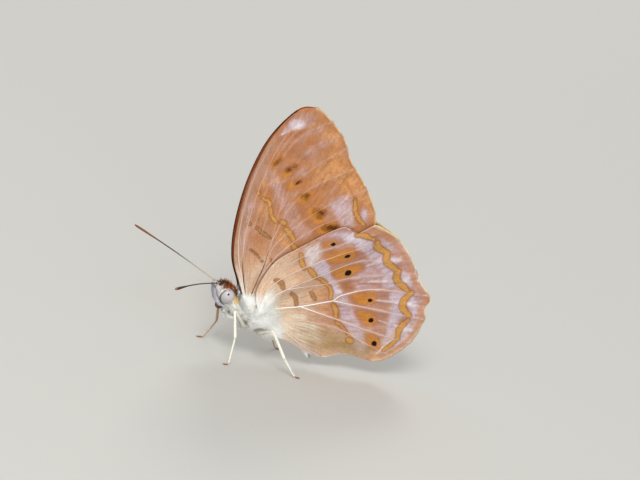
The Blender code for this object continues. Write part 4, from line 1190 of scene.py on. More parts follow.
def make_wing_hair(kind, word, side, wings):
    """Silky hairs that lie on a wing's root and fan outwards, long and white, then short and cream."""
    fore = kind == "forewing"
    rng = np.random.default_rng(SEED + 20 + fore)
    if fore:
        count, root, degrees, farthest, power = 500, (2.4, 9.0), (48.0, 120.0), 1.1, 1.2
    else:
        count, root, degrees, farthest, power = 8000, (3.6, 8.5), (-46.0, 72.0), 11.5, 1.05
    angle = np.radians(rng.uniform(*degrees, count))
    reach = farthest * rng.power(power, count)
    flat = root + heading(angle) * reach[:, None]
    inside = winding(flat, wing_rim(kind))
    if not fore:
        far = 5.0 + 6.0 * fade(np.degrees(angle), -4.0, 12.0)
        inside &= reach < far * rng.uniform(0.6, 1.0, count)
    flat, angle, reach = flat[inside], angle[inside], reach[inside]
    count = len(flat)
    ahead = flat + 0.4 * heading(angle)
    roots = placed(flat, side * (SHEET_Y[kind](flat) + 0.05))
    along = unit(placed(ahead, side * (SHEET_Y[kind](ahead) + 0.10)) - roots)
    along = unit(along + rng.normal(0.0, 0.035, (count, 3)))
    face = np.tile((0.0, side, 0.0), (count, 1))
    along = unit(along + face * rng.uniform(0.02, 0.07, count)[:, None])
    near = fade(reach, 2.0, 7.0)
    lengths = wings.hair_length / MM * (1.0 + near) * rng.uniform(0.7, 1.25, count)
    patches = 0.02 + 0.96 * (flat - flat.min(0)) / (flat.max(0) - flat.min(0))
    streak = step_up(ripple(np.column_stack((angle * 14.0, 0.2 * reach)), 1.0, SEED + 3), -0.25, 0.25)
    colours = blend(wings.inner_tan, wings.hair_cream, streak)
    white_to = 5.6 + 2.4 * hump(np.degrees(angle), -12.0, 16.0)
    colours = blend(colours, wings.root_white_and_glare, fade(reach, 0.3 * white_to, white_to))
    colours = colours * rng.uniform(0.90, 1.06, (count, 1))
    shape = (roots, along, face, lengths, 0.036 + 0.012 * near, STRAND_FLAT, -0.04, patches)
    add_strands(f"{kind}_hair_{word}", hair_finish(), "wing_scales", colours, *shape)


def cover_y(flat):
    """How far out the outermost face stands: a wing where there is one, and else the body's skin."""
    shell = 0.86 * THORAX_WIDE * np.sqrt(np.clip(1.0 - egg_reach(flat) ** 2, 0.02, 1.0))
    wings = [(SHEET_Y[kind](flat) + 0.08) * winding(flat, wing_rim(kind)) for kind in WINGS]
    return np.max((shell, *wings), axis=0)


ROOT_HINGE = ((0.85, 10.5), (1.1, 9.6), (1.7, 8.7), (2.9, 7.8), (4.9, 6.7), (6.8, 5.9))


def make_root_tuft(word, side, wings):
    """The long white hair of the thorax that spreads over the roots of both wings."""
    rng = np.random.default_rng(SEED + 25)
    count, stops = 7000, 300
    hinge = even_stops(catmull_rom(ROOT_HINGE), stops)
    pick = rng.integers(0, stops, count)
    share = pick / (stops - 1)
    scatter = np.interp(share, (0.0, 0.3), (0.22, 0.42))[:, None]
    flat = hinge[pick] + rng.normal(0.0, 1.0, (count, 2)) * scatter
    aim = np.radians(np.interp(share, (0.0, 0.25, 0.5, 0.75, 1.0), (74.0, 40.0, 14.0, -6.0, -24.0)))
    aim += rng.normal(0.0, 0.17, count)
    longest = wings.tuft_length / MM * np.interp(share, (0.0, 0.3, 0.6, 1.0), (0.20, 0.40, 1.0, 0.76))
    tips = flat + (longest * rng.uniform(0.4, 1.15, count))[:, None] * heading(aim)
    low, high = cover_y(flat), cover_y(tips) + 0.16
    roots = placed(flat, side * (low - 0.1))
    # A hair that climbs from the body onto a wing rises first and then lies over
    face = np.tile((0.0, side, 0.0), (count, 1))
    bow = 1.9 * np.clip(high - low, 0.05, 1.3)
    along = placed(tips, side * high) - roots + face * bow[:, None]
    lengths = np.linalg.norm(along, axis=1)
    along = along / lengths[:, None]
    patches = np.column_stack((0.02 + 0.96 * share, 0.5 + 0.3 * (flat - hinge[pick])[:, 0].clip(-1, 1)))
    widths = rng.uniform(0.05, 0.075, count)
    colours = np.array(wings.root_white_and_glare) * rng.uniform(0.92, 1.06, (count, 1))
    shape = (roots, along, face, lengths, widths, STRAND_FLAT, -bow / lengths, patches)
    add_strands(f"root_tuft_{word}", hair_finish(), "body_fur", colours, *shape)


def wing_rim(kind):
    """The outline of a wing's sheet as a closed loop."""
    grid = wing_grid(kind)
    return np.vstack((grid[:, 0], grid[-1], grid[::-1, -1], grid[0, ::-1]))[::3]


def winding(points, loop):
    """Whether each point lies inside a closed loop, by the turns of the loop seen from it."""
    closed = np.vstack((loop, loop[:1]))
    ray = closed[None] - points[:, None]
    bearing = np.arctan2(ray[..., 1], ray[..., 0])
    step = np.diff(np.concatenate((bearing, bearing[:, :1]), axis=1), axis=1)
    step = (step + math.pi) % math.tau - math.pi
    return np.abs(step.sum(1)) > math.pi


# Body


def body_rows():
    """The table of the body's stations as smooth curves, and the share of the run at each stop."""
    line = catmull_rom(BODY)
    run = run_along(line[:, :2])
    return line, run / run[-1]


BODY_LINE, BODY_RUN = body_rows()


def body_at(share, angle):
    """A point of the skin: share runs from the abdomen's tip to the face, angle from the top round by +Y.

    The point is centre + up * depth * cos(angle) + side * width * sin(angle). The abdomen is drawn in
    where two segments meet.
    """
    x, z, wide, deep = (np.interp(share, BODY_RUN, column) for column in BODY_LINE.T)
    ends = [np.clip(share + step, 0.0, 1.0) for step in (SHARE_STEP, -SHARE_STEP)]
    ahead, behind = ([np.interp(end, BODY_RUN, BODY_LINE[:, k]) for k in (0, 1)] for end in ends)
    tx, tz = ahead[0] - behind[0], ahead[1] - behind[1]
    length = np.hypot(tx, tz)
    belly = share / ABDOMEN_SHARE
    ring = np.abs(np.sin(math.pi * SEGMENTS * np.clip(belly, 0.0, 1.0))) ** 0.6
    swell = np.where(belly < 1.0, 0.955 + 0.045 * ring, 1.0)
    swell = swell * (1.0 + 0.02 * hump(np.abs(np.sin(angle)), 0.8, 0.12) * (belly < 1.0))
    rise = deep * swell * np.cos(angle)
    return np.stack((x + tz / length * rise, wide * swell * np.sin(angle), z - tx / length * rise), -1)


def from_eye(points):
    """Distance from the middle of the eye, seen from the side, in shares of its outline."""
    return np.hypot((points[:, 0] - EYE[0]) / EYE_HALF[0], (points[:, 2] - EYE[2]) / EYE_HALF[2])


def body_colours(points, head, body):
    """The coat's colour at places of the body: fields of white, grey, brown and ochre by where they lie."""
    x, y, z = points.T
    level = z - (9.2 - 0.42 * (x - 1.0))
    abdomen = step_up(x, 7.6, 9.4)
    back = z - np.interp(x, [row[0] for row in ABDOMEN], [row[1] for row in ABDOMEN])
    on_head = fade(x + 0.45 * (z - 9.6), 0.0, 1.1)
    crown = step_up(z - 0.25 * (x + 1.0), 11.4, 11.8) * step_up(x, -2.9, -1.9)
    down, aside = 0.70 * (x - 0.5) - 0.71 * (z - 9.75), 0.71 * (x - 0.5) + 0.70 * (z - 9.75)
    colour = np.tile(np.array(body.thorax_white), (len(points), 1))
    for share, other in (
        (0.45 * step_up(-level, 1.5, 3.6), body.thorax_grey),
        (0.85 * step_up(level, 0.6, 2.2) * fade(np.abs(y), 0.7, 1.6), body.back_brown),
        (abdomen, body.abdomen_cream),
        (abdomen * step_up(back, 0.0, 0.9), body.abdomen_tan),
        (step_up(x, 14.6, 15.6), body.thorax_white),
        (hump(x, 16.35, 0.22), body.back_brown),
        (on_head, head.face_grey),
        (on_head * hump(from_eye(points), 1.08, 0.14), body.thorax_white),
        (on_head * crown, head.crown_brown),
        (1.2 * hump(x, 0.35, 0.35) * hump(z, 10.6, 0.5), head.crown_dark),
        (1.2 * hump(down, 0.0, 0.80) * hump(aside, 0.0, 0.34), head.collar_ochre),
    ):
        colour = blend(colour, other, np.clip(share, 0.0, 1.0))
    return np.clip(colour, 0.0, 1.0)


def make_body_skin(head, body):
    """One closed skin from the abdomen's tip to the face: rings carried along the body's curve."""
    share = np.linspace(0.0, 1.0, BODY_RINGS)
    angle = np.linspace(0.0, math.tau, BODY_SIDES, endpoint=False)
    rings = body_at(*np.meshgrid(share, angle, indexing="ij")).reshape(-1, 3)
    ends = BODY_LINE[[0, -1]]
    points = np.vstack((rings, placed(ends, (0.0, 0.0))))
    finish, hidden = coat_finish("body_scales", 0.75, 0.12, 0.04, 0.10), ("thorax", "abdomen", "head")
    faces, colours = ring_faces(BODY_RINGS, BODY_SIDES), body_colours(points, head, body)
    add_piece("body_skin", points, faces, finish, hidden, None, colours)


def body_roots(count, first, last, rng):
    """Random places on the skin between two shares of its run, even by area, with their directions."""
    share = rng.uniform(first, last, count * 3)
    angle = rng.uniform(0.0, math.tau, count * 3)
    girth = np.interp(share, BODY_RUN, BODY_LINE[:, 2] + BODY_LINE[:, 3])
    keep = rng.uniform(0.0, 1.0, count * 3) < girth / girth.max()
    share, angle = share[keep][:count], angle[keep][:count]
    point = body_at(share, angle)
    aft = unit(body_at(share - SHARE_STEP, angle) - point)
    out = unit(np.cross(body_at(share, angle + TURN_STEP) - point, -aft))
    return share, angle, point, aft, out, on_map(share, angle / math.tau)


def make_coat(head, body, name, count, stretch, length, width, lift, seed, spread):
    """A stretch of the coat: hairs that lie back along the body, raised by lift in radians.

    length is a pair, the shortest and the longest; hairs are shorter where a wing covers them, longer
    at the abdomen's tip, and there are none under an eye.
    """
    rng = np.random.default_rng(seed)
    rows = body_roots(count, *stretch, rng)
    free = (from_eye(rows[2]) > 1.02) | (rows[0] < 0.8)
    share, _, point, aft, out, patches = (row[free] for row in rows)
    count = len(point)
    along = raised_from(aft, out, lift * rng.uniform(0.6, 1.4, count))
    along = unit(along + rng.normal(0.0, spread, (count, 3)))
    lengths = rng.uniform(*length, count)
    covered = (share > ABDOMEN_SHARE) & (share < 0.74)
    lengths *= 1.0 - 0.45 * step_up(point[:, 2] - 9.0 + 0.4 * point[:, 0], 0.2, 1.6) * covered
    lengths *= 1.0 + 0.9 * step_up(point[:, 0], 14.6, 15.8)
    widths = width * rng.uniform(0.8, 1.2, count)
    colours = body_colours(point, head, body) * rng.uniform(0.80, 1.08, (count, 1))
    shape = (point - 0.05 * out, along, out, lengths, widths, STRAND_FLAT, -0.12, patches)
    add_strands(f"coat_{name}", hair_finish(), "body_fur", colours, *shape)


def make_chest(head, body, seed):
    """Shaggy hair under the head and on the breast, which hides the necks of the legs."""
    rng = np.random.default_rng(seed)
    rows = body_roots(19000, 0.62, 0.86, rng)
    below = np.cos(rows[1]) < -0.15
    share, _, point, aft, out, patches = (row[below] for row in rows)
    count = len(point)
    along = raised_from(aft, out, rng.uniform(0.35, 0.95, count))
    along = unit(along + rng.normal(0.0, 0.12, (count, 3)))
    lengths = body.chest_length / MM * rng.uniform(0.48, 1.0, count)
    lengths = lengths * (1.0 + 0.35 * hump(share, 0.79, 0.03))
    widths = rng.uniform(0.055, 0.085, count)
    mottle = step_up(ripple(point[:, [0, 2]], 0.9, seed), -0.2, 0.5)
    colours = blend(body.thorax_white, head.face_grey, mottle) * rng.uniform(0.88, 1.06, (count, 1))
    shape = (point - 0.05 * out, along, out, lengths, widths, STRAND_FLAT, -0.15, patches)
    add_strands("coat_chest", hair_finish(), "body_fur", colours, *shape)


def make_crown(head, seed):
    """The brush on top of the head: clumps of bristles, each drawn to one point, some dark and some red."""
    rng = np.random.default_rng(seed)
    clumps, each = 230, 15
    share = rng.uniform(0.85, 0.985, clumps)
    angle = rng.normal(0.0, 1.0, clumps) * np.interp(share, (0.85, 0.90, 0.985), (0.30, 0.40, 0.46))
    point = body_at(share, angle)
    ahead = unit(body_at(share + SHARE_STEP, angle) - point)
    out = unit(np.cross(body_at(share, angle + TURN_STEP) - point, ahead))
    out *= np.sign(np.sum(out * (point - (-1.0, 0.0, 10.3)), axis=1))[:, None]
    forward = step_up(share, 0.85, 0.96)
    lean = rng.uniform(-0.6, 0.5, clumps) + 0.9 * (forward - 0.4)
    aim = unit(out + ahead * lean[:, None] + rng.normal(0.0, 0.34, (clumps, 3)))
    height = head.crown_height / MM * rng.uniform(0.32, 1.0, clumps) * (0.7 + 0.4 * forward)
    peak = point + aim * height[:, None]
    owner = np.repeat(np.arange(clumps), each)
    count = len(owner)
    spread = rng.normal(0.0, 0.09, (count, 3))
    spread -= out[owner] * np.sum(spread * out[owner], axis=1)[:, None]
    roots = point[owner] + spread - 0.06 * out[owner]
    span = peak[owner] + rng.normal(0.0, 0.05, (count, 3)) - roots
    lengths = np.linalg.norm(span, axis=1) * rng.uniform(0.7, 1.05, count)
    along = unit(span)
    face = unit(np.cross(unit(np.cross(along, ahead[owner])), along))
    patches = np.column_stack((0.02 + 0.96 * share, 0.5 + 0.1 * angle))[owner]
    widths = rng.uniform(0.035, 0.055, count)
    red = hump(share, 0.915, 0.035) * rng.uniform(0.2, 1.4, clumps)
    tint = blend(head.crown_dark, head.crown_brown, rng.uniform(0.25, 1.1, clumps))
    tint = blend(tint, head.crown_rust, np.clip(red, 0.0, 1.0))
    pale = (share > 0.945) & (rng.uniform(0.0, 1.0, clumps) < 0.20)
    tint[pale] = np.array(head.face_grey)
    colours = tint[owner] * rng.uniform(0.75, 1.2, (count, 1))
    shape = (roots, along, face, lengths, widths, 0.3, 0.05, patches)
    add_strands("crown_bristles", hair_finish(), "body_fur", colours, *shape)


# Head


def make_eye(word, side, head):
    """A dome of compound lenses: rings round its pole, which points outwards, closed at the back."""
    polar = np.linspace(0.0, EYE_REACH, EYE_RINGS + 1)[1:]
    turn = np.linspace(0.0, math.tau, EYE_SIDES, endpoint=False)
    p, t = np.meshgrid(polar, turn, indexing="ij")
    ball = np.stack((np.sin(p) * np.cos(t), side * np.cos(p), np.sin(p) * np.sin(t)), -1).reshape(-1, 3)
    ball = np.vstack((ball, (0.0, side, 0.0), (0.0, side * math.cos(polar[-1]), 0.0)))
    points = EYE * (1.0, side, 1.0) + ball * EYE_HALF
    # The dark spot lies close to where the lenses point at the viewer, and mirrored on the far eye
    back, right, up = view_axes()
    facing = unit(back + 0.27 * right + 0.06 * up) * (1.0, side / LEFT, 1.0)
    off = np.degrees(np.arccos(np.clip(unit(ball / EYE_HALF) @ facing, -1.0, 1.0)))
    front, low = unit(np.array((-1.0, 0.0, 0.12))), unit(np.array((-0.45, 0.0, -0.9)))
    rim = step_up(np.hypot(ball[:, 0], ball[:, 2]), 0.87, 0.95) * step_up(ball @ front, 0.3, 0.75)
    fields = {
        "pupil": np.maximum(fade(off, 5.5, 10.5), 0.75 * rim),
        # Painted shade: the lower front of the eye is darkened, as if turned from the light
        "shade": 0.8 * step_up(ball @ low, -0.3, 0.9),
    }
    faces = ring_faces(EYE_RINGS, EYE_SIDES)
    add_piece(f"eye_lens_{word}", points, faces, eye_finish(head), (f"eye_{word}",), fields)


def furred_tube(name, path, radii, colour_of, slot, reference, seed, count, length, width, lift, shag=0.0):
    """A tube in place of the node of this name, under short hairs that lie along it towards its end.

    length is a pair, the shortest and the longest hair; shag is how much longer they are at its root.
    """
    rng = np.random.default_rng(seed)
    points, *faces = tube(path, radii, LIMB_SIDES, reference)
    finish = coat_finish("limb_scales", 0.65, 0.12, 0.02, 0.08)
    add_piece(f"{name}_skin", points, faces, finish, (name,), None, colour_of(points))
    share = rng.uniform(0.0, 0.97, count)
    angle = rng.uniform(0.0, math.tau, count)
    steps = np.linspace(0.0, 1.0, len(path))
    ways = (path, np.gradient(path, axis=0))
    centre, along = (np.column_stack([np.interp(share, steps, row) for row in way.T]) for way in ways)
    along = unit(along)
    n = unit(reference - (along @ reference)[:, None] * along)
    out = raised_from(n, np.cross(along, n), angle)
    roots = centre + out * (np.interp(share, steps, radii) - 0.02)[:, None]
    lie = raised_from(along, out, lift * rng.uniform(0.4, 1.6, count))
    lie = unit(lie + rng.normal(0, 0.06, (count, 3)))
    lengths = rng.uniform(*length, count) * (1.0 + shag * fade(share, 0.06, 0.34))
    widths = width * rng.uniform(0.8, 1.2, count)
    colours = colour_of(roots) * rng.uniform(0.82, 1.08, (count, 1))
    shape = (roots, lie, out, lengths, widths, 0.3, -0.1, on_map(share, angle / math.tau))
    add_strands(f"{name}_hair", hair_finish(), slot, colours, *shape)


def make_palps(head):
    """Two upright palps before the face: grey scales, dark bristles towards the tip."""
    for word, side in SIDES:
        path = even_stops(catmull_rom([(x, side * y, z) for x, y, z in PALP]), 70)
        share = np.linspace(0.0, 1.0, len(path))
        stations = (0.0, 0.1, 0.3, 0.55, 0.78, 0.95, 1.0)
        radii = np.interp(share, stations, (0.12, 0.19, 0.27, 0.27, 0.20, 0.10, 0.03))

        def colour_of(points):
            x, z = points[:, 0], points[:, 2]
            back = 0.5 * step_up(x - np.interp(z, path[:, 2], path[:, 0]), 0.0, 0.3) * step_up(z, 9.0, 10.5)
            dark = np.clip(step_up(z, 10.6, 11.4) * 0.55 + back, 0.0, 1.0)
            return blend(head.palp_grey, head.crown_dark, dark)

        hair = (SEED + 30, 1800, (0.28, 0.55), 0.055, 0.42)
        furred_tube(f"palp_{word}", path, radii, colour_of, "head_scales", (0.0, 1.0, 0.0), *hair)


def make_tongue(head):
    """The coiled tongue: a watch-spring spiral whose radius shrinks by one thickness a turn."""
    thick = head.tongue_radius / MM
    turns = np.linspace(0.0, COIL_TURNS * math.tau, 260)
    radius = COIL_R - 2.1 * thick * turns / math.tau
    path = placed(COIL[[0, 2]] + radius[:, None] * heading(math.radians(150.0) + turns), 0.0 * turns)
    lead = catmull_rom([(-1.5, 0.0, 9.3), (-2.05, 0.0, 8.95), tuple(path[0]), tuple(path[6])])
    path = np.vstack((lead[:48], path))
    radii = thick * np.interp(np.linspace(0, 1, len(path)), (0, 0.7, 1), (1.05, 0.9, 0.5))
    radii = radii * (1.0 + 0.07 * np.sin(np.arange(len(path)) * 1.3))
    points, *faces = tube(path, radii, HORN_SIDES, (0.0, 1.0, 0.0))
    colours = blend(head.horn_dark, head.antenna_tip, np.full(len(points), 0.25))
    finish = coat_finish("tongue_cuticle", 0.35, 0.1, 0.01, 0.1)
    add_piece("tongue", points, faces, finish, ("proboscis",), None, colours)


def make_antennae(head):
    """Beaded shafts: a thin tube drawn in at each of its joints, thicker in the club at the end."""
    for word, side in SIDES:
        far = side == RIGHT
        t = np.linspace(0.0, 1.0, 460)
        tip = ANTENNA_TIP + ((-0.15, 0.2, 0.0) if far else (0.0, 0.0, 0.0))
        bow = ANTENNA_BOWS[side] * np.sin(math.pi * t)[:, None]
        path = ANTENNA_ROOT + (tip - ANTENNA_ROOT) * t[:, None] + bow
        base = head.feeler_radius / MM + 0.10 * hump(t, 0.0, 0.02)
        club = (0.095 if far else 0.125) * step_up(t, 0.66, 0.93) * (1.0 - 0.75 * step_up(t, 0.965, 1.0))
        beads = 1.0 - 0.16 * np.abs(np.cos(math.pi * 52.0 * t)) ** 6
        points, *faces = tube(path * (1.0, side, 1.0), (base + club) * beads, HORN_SIDES, (0.0, 0.0, 1.0))
        share = np.append(np.repeat(t, HORN_SIDES), (0.0, 1.0))
        # Painted light and shade: the lower shaft's grey shows in full on the far feeler, drawn lit, and
        # only faintly on the near one, drawn in shade
        colours = blend(head.horn_dark, head.antenna_grey_and_light, fade(share, 0.15, 0.62) * (1.0 if far else 0.15))
        warm = 0.55 * step_up(share, 0.55, 0.85) if far else step_up(share, 0.962, 0.985)
        colours = blend(colours, head.antenna_tip, warm)
        finish = coat_finish("antenna_cuticle", 0.45, 0.15, 0.01, 0.12)
        name, hidden = f"antenna_shaft_{word}", (f"antenna_{word}",)
        add_piece(name, points, faces, finish, hidden, None, colours)


# Legs


def thorax_at(along, angle, lift=0.0):
    """A point of the solids' thorax: along its axis from -1, the rear, to 1, and round it from below."""
    swell = math.sqrt(max(0.0, 1.0 - abs(along) ** 2.3))
    axis = np.array((-math.cos(PITCH), 0.0, math.sin(PITCH)))
    up = np.array((math.sin(PITCH), 0.0, math.cos(PITCH)))
    wide, deep = THORAX_WIDE * swell + lift, THORAX_DEEP * swell + lift
    out = np.array((0.0, wide * math.sin(angle), 0.0)) - up * deep * math.cos(angle)
    return np.array((THORAX[0], 0.0, THORAX[1])) + axis * along * THORAX_LONG + out


def rounded(corners, reach):
    """The line through the corners with each inner one rounded off by a quadratic curve."""
    line = [corners[0]]
    t = np.linspace(0.0, 1.0, 9)[:, None]
    for before, corner, after in zip(corners, corners[1:], corners[2:]):
        start = corner + (before - corner) * min(0.45, reach / np.linalg.norm(before - corner))
        end = corner + (after - corner) * min(0.45, reach / np.linalg.norm(after - corner))
        line.extend((1 - t) ** 2 * start + 2 * t * (1 - t) * corner + t**2 * end)
    return np.vstack((*line, corners[-1]))


def make_hip_tuft(name, station, angle, knee, body):
    """Long hair of the thorax that runs down over the root of a leg."""
    rng = np.random.default_rng(SEED + 70)
    count = 800
    offsets = rng.normal(0.0, 1.0, (count, 2)) * (0.10, 0.17)
    roots = np.array([thorax_at(station + a, angle + b, -0.15) for a, b in offsets])
    out = unit(roots - (THORAX[0], 0.0, THORAX[1]))
    along = unit(unit(knee - roots) + 0.25 * out + rng.normal(0.0, 0.12, (count, 3)))
    lengths = rng.uniform(0.6, 1.7, count)
    patches = 0.5 + 0.5 * np.clip(((station, angle) + offsets) / (1.0, math.pi), -0.95, 0.95)
    widths = rng.uniform(0.045, 0.07, count)
    colours = blend(body.thorax_grey, body.thorax_white, rng.uniform(0.0, 1.0, count))
    colours = colours * rng.uniform(0.9, 1.05, (count, 1))
    shape = (roots, along, out, lengths, widths, STRAND_FLAT, 0.0, patches)
    add_strands(f"{name}_hip", hair_finish(), "body_fur", colours, *shape)


def make_claws(name, toe, forward, shin_end, down, body):
    """Two claws at the end of a foot and two spurs at the end of the shin, all drawn out to points."""
    across = np.array((-forward[1], forward[0], 0.0))
    start = toe - forward * 0.05
    parts = []
    for turn in (-1.0, 1.0):
        claw = [start, start + forward * 0.16 + across * turn * 0.10 + (0, 0, 0.05)]
        claw = catmull_rom([*claw, start + forward * 0.30 + across * turn * 0.16 + (0, 0, -0.06)], 8)
        parts.append(tube(claw, np.linspace(0.05, 0.012, len(claw)), 8, (0.1, 0.2, 1.0)))
        places = ((0, 0), (0.3, 0.16), (0.62, 0.24))
        spur = catmull_rom([shin_end + down * run + across * turn * aside for run, aside in places], 8)
        parts.append(tube(spur, np.linspace(0.05, 0.014, len(spur)), 8, (0.3, 0.2, 1.0)))
    points, *faces = joined(parts)
    points[:, 2] = np.maximum(points[:, 2], CLAW_LOW)
    colours = np.tile(np.array(body.foot_orange), (len(points), 1))
    finish = coat_finish("claw_cuticle", 0.35, 0.1, 0.005, 0.1)
    add_piece(f"{name}_claws", points, faces, finish, (), None, colours)


def make_leg(name, joints, body):
    """Thigh, shin, five foot joints and two claws, with spurs at the shin's end, under flat scales."""
    station, angle = joints[0][0], math.radians(joints[0][1])
    root, hip = thorax_at(station, angle, -0.7), thorax_at(station, angle, 0.35)
    knee, ankle, foot = (np.array(joint, float) for joint in joints[1:])
    lies = (foot - ankle) * (1.0, 1.0, 0.0)
    forward = unit(lies if np.linalg.norm(lies) >= 0.3 else np.array((-1.0, 0.0, 0.0)))
    lies = forward * (0.75 if name.endswith("left") else FOOT_LIES)
    heel, toe = foot - lies * 0.5 + (0, 0, 0.17), foot + lies * 0.5 + (0, 0, 0.12)
    path = even_stops(rounded([root, hip, knee, ankle, heel, toe], 0.55), 260)
    run = run_along(path)
    corners = np.array((hip, knee, ankle, toe))
    hip_s, knee_s, ankle_s, toe_s = run[np.linalg.norm(path - corners[:, None], axis=2).argmin(1)]
    hind = name.startswith("hind")
    thigh_s = 0.5 * (hip_s + knee_s)
    stops = (0.0, hip_s, thigh_s, knee_s - 0.15, knee_s + 0.2, ankle_s - 0.2, ankle_s + 0.15, toe_s)
    radii = np.interp(run, stops, (0.36, 0.30, 0.26, 0.19, 0.19, 0.26 if hind else 0.215, 0.155, 0.10))
    tarsus = np.clip((run - ankle_s) / (toe_s - ankle_s), 0.0, 1.0) * (toe_s - ankle_s)
    for joint in (0.0, 0.42, 0.6, 0.74, 0.87):
        radii *= 1.0 - 0.24 * hump(tarsus, joint * (toe_s - ankle_s), 0.10) * (run > ankle_s - 0.1)
    outward = np.sign(foot[1])

    def colour_of(points):
        nearest = np.linalg.norm(points[:, None] - path[None, ::4], axis=2).argmin(1)
        share = run[::4][nearest]
        inside = step_up(-outward * (points[:, 1] - path[::4][nearest, 1]), -0.02, 0.16)
        colour = blend(body.leg_cream, body.leg_tan_and_shade, 0.85 * inside)
        # Painted shade: only the legs of the far side get a darker shin
        far_shin_shade = 0.5 * (outward > 0) * step_up(share, knee_s - 0.4, knee_s + 0.4)
        colour = blend(colour, body.leg_tan_and_shade, far_shin_shade)
        colour = blend(colour, body.foot_orange, step_up(share, toe_s - 1.1, toe_s - 0.6))
        return blend(colour, body.thorax_grey, 0.7 * fade(share, 0.5 * knee_s, knee_s - 0.2))

    hair = (SEED + 40, 2200 if hind else 1800, (0.16, 0.30), 0.05, 0.22, 1.9)
    furred_tube(name, path, radii, colour_of, "leg_scales", (0.31, 0.9, 0.31), *hair)
    make_hip_tuft(name, station, angle, knee, body)
    spur = path[np.abs(run - ankle_s + 0.25).argmin()]
    down = unit(path[np.abs(run - ankle_s - 0.4).argmin()] - spur)
    make_claws(name, toe, forward, spur, down, body)


def make_foreleg(word, side, body):
    """The small foreleg, folded up against the front of the thorax like a brush."""
    angle = side * math.radians(30.0)
    joints = [tuple(thorax_at(station, angle, 0.35)) for station in (0.12, 0.40, 0.64)]
    joints += [(0.05, side * 0.72, 6.72), (-0.62, side * 0.62, 7.35)]
    path = even_stops(catmull_rom(joints), 90)
    share = np.linspace(0.0, 1.0, len(path))
    radii = np.interp(share, (0.0, 0.15, 0.5, 0.8, 0.97, 1.0), (0.12, 0.16, 0.14, 0.12, 0.07, 0.03))

    def colour_of(points):
        return np.tile(np.array(body.thorax_white), (len(points), 1))

    hair = (SEED + 50, 1800, (0.45, 0.95), 0.075, 0.6)
    furred_tube(f"foreleg_{word}", path, radii, colour_of, "leg_scales", (0.0, 1.0, 0.0), *hair)


# Stage


def view_axes():
    """Unit vectors of the view: from the animal to the camera, to the picture's right and up it."""
    level_share = math.cos(ELEVATION)
    back = (-math.sin(AZIMUTH) * level_share, -math.cos(AZIMUTH) * level_share, math.sin(ELEVATION))
    level = np.array((math.cos(AZIMUTH), -math.sin(AZIMUTH), 0.0))
    upright = np.cross(back, level)
    right = level * math.cos(ROLL) + upright * math.sin(ROLL)
    return np.array(back), right, -level * math.sin(ROLL) + upright * math.cos(ROLL)


def add_camera():
    """The camera, which looks at AIM from DISTANCE and is rolled as the view is."""
    back, right, up = view_axes()
    lens = bpy.data.cameras.new("camera")
    lens.lens, lens.sensor_width = LENS, SENSOR
    lens.clip_start, lens.clip_end = 0.02, 20.0
    camera = bpy.data.objects.new("camera", lens)
    bpy.context.scene.collection.objects.link(camera)
    turned = Matrix(np.column_stack((right, up, back)).tolist()).to_4x4()
    camera.matrix_world = Matrix.Translation(AIM + Vector(back) * DISTANCE) @ turned
    bpy.context.scene.camera = camera


def add_lamp(name, place, size, power, colour):
    """A square soft box that faces the animal's middle."""
    lamp = bpy.data.lights.new(name, "AREA")
    lamp.shape, lamp.size, lamp.energy, lamp.color = "SQUARE", size, power, colour
    made = bpy.data.objects.new(name, lamp)
    made.location = place
    made.rotation_euler = (Vector((0.0, 0.0, 0.02)) - Vector(place)).to_track_quat("-Z", "Y").to_euler()
    bpy.context.scene.collection.objects.link(made)


